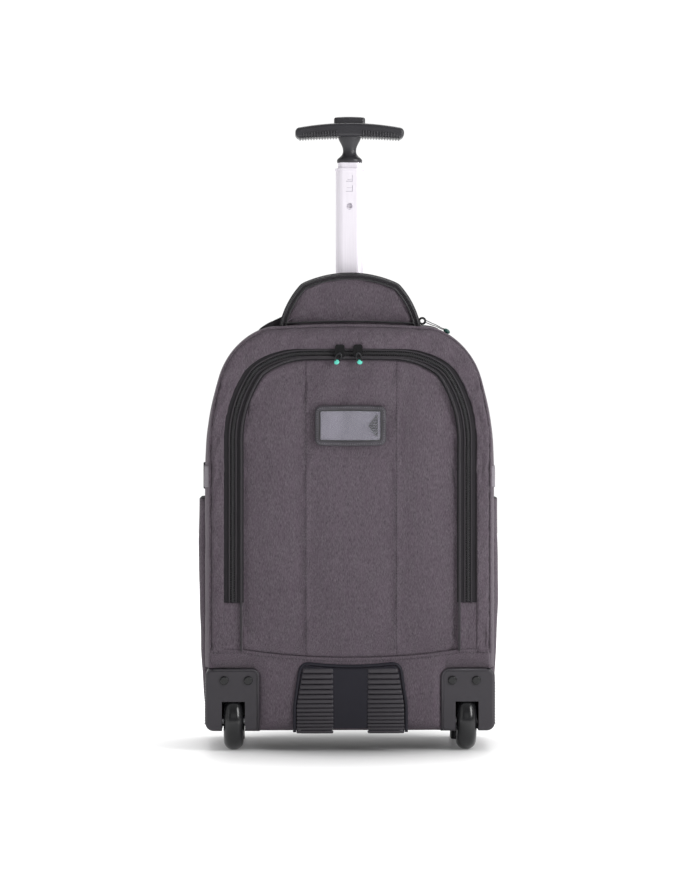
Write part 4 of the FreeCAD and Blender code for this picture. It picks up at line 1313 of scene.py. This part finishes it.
def dress_pull(name, lean):
    """Loop and oval grip that hang from a slider, on the body named like the pull."""
    lo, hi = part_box(name.replace("pull", "slider"))
    pull_lo, pull_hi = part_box(name)
    x, y = (lo.x + hi.x) / 2, (pull_lo.y + pull_hi.y) / 2
    top, tip = pull_hi.z, pull_hi.z - 6.6 * MM
    turn = math.atan2(lean, top - tip)
    middle = (x + lean / 2, y, (top + tip) / 2 + 1.6 * MM)
    loop = solid("torus", middle, (0.6, 1, 1.15), (math.pi / 2, 0, 0), major_radius=4.8 * MM,
                 minor_radius=1.1 * MM, major_segments=32, minor_segments=10)
    pick(loop)
    bpy.ops.transform.rotate(value=turn, orient_axis="Y", center_override=middle)
    bpy.ops.object.transform_apply(location=True, rotation=True, scale=True)
    hanger = built(name + "_loop", [loop], pull_black, name, 60)
    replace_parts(hanger, name)
    grip = oval_grip((x + lean, y, tip), (5.9 * MM, 3.4 * MM, 5.2 * MM), turn)
    built(name + "_grip", [grip], pull_mint, name, 60)


for name, lean in (("front_pull_left", -3.4), ("front_pull_right", 1.8),
                   ("main_pull_left", -2.0), ("main_pull_right", 2.0)):
    dress_pull(name, lean * MM)

# The hood's pull is a two-strand cord that lies along the right shoulder.
CORD_STEPS = 12
pull_lo, pull_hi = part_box("hood_pull")
cord_y = (pull_lo.y + pull_hi.y) / 2
start_z, end_z = pull_hi.z, height_at(roof, pull_hi.x) + 2.4 * MM
strands = []
for part in (-1, 1):
    path = []
    for k in range(CORD_STEPS + 1):
        share = k / CORD_STEPS
        x = pull_lo.x + (pull_hi.x - pull_lo.x) * share
        z = max(start_z + (end_z - start_z) * share, height_at(roof, x) + 1.9 * MM)
        path.append((x, cord_y, z + part * (1.2 - 0.9 * share) * MM))
    strands.append(swept(f"strand_{part}", path, round_section(0.42 * MM, 6), pull_black, None))
cord_piece = join("hood_pull_cord", strands, "hood_pull")
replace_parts(cord_piece, "hood_pull")
sleeve = oval_grip((pull_hi.x - 1 * MM, cord_y, end_z), (8 * MM, 4.6 * MM, 4.8 * MM), math.radians(32))
built("hood_pull_grip", [sleeve], pull_green, "hood_pull", 60)

# %% [markdown]
# ## The telescopic handle
# The tubes stay as extruded. On the front of the first stage, two pressed marks and a round one are drawn
# only as their shade: thin bars along the right and lower edges of each mark and a ring, in a darker shade
# of the tube's colour, which is painted shade. The grip carries fine upright ribs that run on under the bar
# as teeth.

# %% Painted shade of the tube's stamped marks, and grip ribs
stage_lo, stage_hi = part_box("stage_1_tube")
stamp_shade_bars = []
STAMP_Y = stage_lo.y + 0.05 * MM
# Bars only along each mark's right and lower edge, and a ring for the round mark: painted shade of marks pressed
# into the tube.
for drop in (9.0, 20.0):
    for dx, dz, w, h in ((0, -3.3, 7.4, 0.7), (3.4, 0, 0.7, 7), (0.5, 0.2 * drop - 3.2, 5.6, 0.35)):
        stamp_shade_bars.append(block(((dx - 0.4) * MM, STAMP_Y, stage_hi.z - (drop - dz) * MM),
                            (w * MM, 0.3 * MM, h * MM), bevel=0.1 * MM, segments=1))
stamp_shade_metal = make_metal("stamp_shade", srgb(196, 190, 202), 0.45, (1200, 1200, 30))
stamp_shade_bars.append(solid("torus", (0, STAMP_Y, stage_hi.z - 40 * MM), (1, 1, 1), (math.pi / 2, 0, 0),
                    major_radius=3.0 * MM, minor_radius=0.3 * MM, major_segments=32, minor_segments=6))
built("tube_stamp_shade_bars", stamp_shade_bars, stamp_shade_metal, "stage_1")
bar_lo, bar_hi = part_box("grip_bar")
GRIP_Y = (bar_lo.y + bar_hi.y) / 2
grip_half = bar_hi.x
ribs = []
for side in (-1, 1):
    for k in range(14):
        x = side * (14.5 + 3.05 * k) * MM
        share = abs(x) / grip_half
        low = bar_lo.z + 2.3 * MM * (1 - share ** 2)
        tall = (8.2 - 2.2 * share) * MM
        deep = (26.0 - 3.5 * share ** 6) * MM
        ribs.append(block((x, GRIP_Y, low + tall / 2 - 1.3 * MM), (1.6 * MM, deep, tall), bevel=0.6 * MM))
built("grip_ribs", ribs, grip_plastic, "stage_2")
_, button_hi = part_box("grip_button")
dish = solid("torus", (0, GRIP_Y, button_hi.z - 0.1 * MM), (2.1, 0.72, 0.7), major_radius=6.4 * MM,
             minor_radius=0.9 * MM, major_segments=40, minor_segments=8)
built("button_rim", [dish], grip_plastic, "grip_button", 60)
print("handle details done")

# %% [markdown]
# ## Sides and top
# Each side has a bowed bottle pocket with a bound mouth and a webbing strap with a buckle over it. The
# grab handle on top is a folded strap of the shell cloth.

# %% Side pockets, straps and grab handle
pocket_lo, pocket_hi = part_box("side_pockets")
strap_lo, strap_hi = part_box("side_straps")
buckle_lo, buckle_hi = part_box("strap_buckles")
SKIN = BODY_HALF + 1.2 * MM
for side, name in ((-1, "left"), (1, "right")):
    verts, rows_up, across = [], 26, 26
    for r in range(rows_up):
        t = r / (rows_up - 1)
        z = pocket_lo.z + (pocket_hi.z - pocket_lo.z) * t
        for c in range(across):
            s = c / (across - 1)
            y = pocket_lo.y + (pocket_hi.y - pocket_lo.y) * s
            wall = min(1, min(s, 1 - s) * (across - 1) / 2.4)
            bow = math.sin(math.pi * min(t * 0.66 + 0.04, 0.6))
            out = (pocket_hi.x - SKIN + 0.2 * MM) * bow * wall ** 0.5
            out += wall * MM * (0.9 * ruffle((y, z, side), 30, 4) + 0.7 * ruffle((y * 2, z * 0.5, side), 34, 8))
            verts.append((side * (SKIN + max(0.4 * MM, out)), y, z))
    faces = grid_faces(rows_up, across)
    pocket = new_piece("bottle_pocket_" + name, verts, faces if side < 0 else flipped(faces), melange, None)
    apply_modifier(pocket, "SOLIDIFY", thickness=1.8 * MM, offset=-1.0)
    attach(pocket, "case")
    if side > 0:
        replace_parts(pocket, "side_pockets")
    hem_path = [verts[(rows_up - 1) * across + c] for c in range(across)]
    hem = swept("pocket_hem_" + name, hem_path, round_section(1.7 * MM, 8), zip_cloth, "case")
    middle_z = (strap_lo.z + strap_hi.z) / 2
    verts, rows_up, along = [], 9, 40
    for r in range(rows_up):
        z = strap_lo.z + 0.8 * MM + (strap_hi.z - strap_lo.z - 1.6 * MM) * r / (rows_up - 1)
        for c in range(along):
            x, y, _ = band_point((side * BODY_HALF, z), (side, 0), 0.01 + 0.97 * c / (along - 1))
            verts.append((x + side * 1.0 * MM, y - 1.2 * MM * max(0, 1 - c / 3), z))
    faces = grid_faces(rows_up, along)
    strap_piece = new_piece("side_strap_" + name, verts, flipped(faces) if side > 0 else faces, webbing, None)
    apply_modifier(strap_piece, "SOLIDIFY", thickness=1.4 * MM, offset=1.0)
    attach(strap_piece, "case")
    rail_x = side * (BODY_HALF + 5.4 * MM)
    box_y = (buckle_lo.y + buckle_hi.y) / 2
    rails = [block((rail_x, box_y + dy * 15 * MM, middle_z), (3.0 * MM, 4.2 * MM, 29 * MM), bevel=1.1 * MM)
             for dy in (-1, 0, 1)]
    rails += [block((rail_x, box_y, middle_z + dz * 13.2 * MM), (3.0 * MM, 33 * MM, 3.2 * MM), bevel=1.0 * MM)
              for dz in (-1, 1)]
    buckle = built("strap_buckle_" + name, rails, buckle_plastic, "case")
    if side > 0:
        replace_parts(strap_piece, "side_straps")
        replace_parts(buckle, "strap_buckles")
carry_lo, carry_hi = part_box("grab_handle")
carry_y = (carry_lo.y + carry_hi.y) / 2
carry_half, rise = carry_hi.x - 3.5 * MM, carry_hi.z - 3.8 * MM
foot_of = height_at(body_arch(-1 * MM, BAND_FOOT, 300), carry_half)
flat_end = (carry_half - 26 * MM, rise)
carry_right = arc_points((carry_half, foot_of), (carry_half - 7 * MM, rise - 8 * MM), flat_end, 14)
carry_line = arch(carry_right + [flat_end, (0, rise + 0.6 * MM)], 90)
FOLDED = ((-0.6, -1), (-1, -0.9), (-1.05, -0.3), (-1.05, 0.3), (-1, 0.9), (-0.6, 1),
          (0.6, 1), (1, 0.9), (1.05, 0.3), (1.05, -0.3), (1, -0.9), (0.6, -1))
carry = swept("grab_strap", [(x, carry_y, z) for x, z in carry_line],
              [(a * 3.3 * MM, b * 12.6 * MM) for a, b in FOLDED], melange, "case")
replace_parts(carry, "grab_handle")
print("sides and top done")

# %% [markdown]
# ## The far side
# The padded lid of the main compartment has a flat document pocket and its own zip, whose tape shows as a
# dark frame round the lid.

# %% Lid, document pocket and main zip
LID_SEAMS = (-0.075, 0.075)
lid_line = body_arch(2.5 * MM, lid_lo.z, 240)
lid, lid_columns, lid_front, lid_rows = pad_panel(
    "lid_cloth", offset_line(lid_line, -6 * MM), lambda x: lid_lo.z, LID_SEAMS, LID_Y + 1.5 * MM, lid_lo.y,
    melange, "main_lid", swell=3.0 * MM, pressure=3.5, cap=4 * MM, rows=50)
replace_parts(lid, "main_lid")
for label, inset, y, width, deep, material, body in (
        ("case", 0.2, REAR_Y - 1.0 * MM, 1.6, 9.0, zip_cloth, "case"),
        ("lid", 4.6, lid_lo.y + 4.4 * MM, 8.6, 6.6, zip_cloth, "main_lid"),
        ("coil", 0.9, lid_lo.y + 1.6 * MM, 2.0, 2.4, coil_nylon, "main_lid")):
    path = [(x, y, z) for x, z in body_arch(inset * MM, lid_lo.z + 1 * MM, 240)]
    tape = swept("main_zip_" + label, path, flat_section(width * MM, deep * MM), material, body)
seam = []
for k, s in enumerate(LID_SEAMS):
    path = [(x, y + 0.5 * MM, z) for x, y, z in sheet_line(lid_columns, lid_front, lid_rows, s)]
    seam.append(stitches(f"lid_thread_{k}", path, 2.4 * MM, 1.4 * MM, 0.3 * MM, "main_lid"))
join("lid_quilting_thread", seam, "main_lid")
doc_lo, doc_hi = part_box("far_pocket")
verts, rows_up, across = [], 30, 40
full = doc_hi.y - LID_Y - 3 * MM
for r in range(rows_up):
    t = r / (rows_up - 1)
    for c in range(across):
        s = c / (across - 1)
        x, z = doc_lo.x + (doc_hi.x - doc_lo.x) * s, doc_lo.z + (doc_hi.z - doc_lo.z) * t
        edge = min(1, min(s, 1 - s) * 14) ** 0.5 * min(1, t * 16) ** 0.5
        bulge = full * edge * (0.9 + 0.1 * math.sin(math.pi * s)) + 1.4 * MM * ruffle((x, z, 0), 18, 6) * edge
        verts.append((x, LID_Y + 1.2 * MM + bulge, z))
doc = new_piece("document_pocket_cloth", verts, flipped(grid_faces(rows_up, across)), melange, None)
apply_modifier(doc, "SOLIDIFY", thickness=2.2 * MM, offset=-1.0)
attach(doc, "main_lid")
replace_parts(doc, "far_pocket")
mouth = [verts[(rows_up - 1) * across + c] for c in range(across)]
swept("document_pocket_binding", mouth, round_section(2.2 * MM, 8), zip_cloth, "main_lid")
print("lid", len(lid.data.polygons), "faces")

# %% [markdown]
# ## Finishes for the CAD parts that show
# Each remaining node takes the finish that suits its job.

# %% Dress the CAD nodes
DRESS = {
    melange: ["main_gusset", "front_pocket_gusset", "base_tray"], lining: ["laptop_divider", "front_wall"],
    board_plastic: ["back_board", "tube_foot_bracket", "stage_1_plug", "stage_2_plug"],
    skid_plastic: ["skid_plate"], housing_plastic: ["wheel_housing_left", "wheel_housing_right"],
    buckle_plastic: ["tube_bezel"],
    steel: ["wheel_axles", "lock_pin_upper", "lock_pin_lower", "push_rod", "button_spring"],
    tube_metal: ["trolley_outer_tube", "stage_1_tube", "stage_1_collar", "stage_2_tube"],
    grip_plastic: ["grip_bar", "grip_neck", "grip_button"], tyre_rubber: ["tyre_left", "tyre_right"],
    hub_plastic: ["hub_left", "hub_right"], foot_rubber: ["rear_feet"], card_face: ["id_card"],
    enamel: ["rivets", "hood_slider", "front_slider_left", "front_slider_right",
             "main_slider_left", "main_slider_right"],
}
dressed = 0
for material, names in DRESS.items():
    for name in names:
        for k in range(max(1, len(nodes[name].data.materials))):
            if len(nodes[name].data.materials) <= k:
                nodes[name].data.materials.append(material)
            nodes[name].data.materials[k] = material
            dressed += 1
print("dressed", dressed, "CAD nodes")
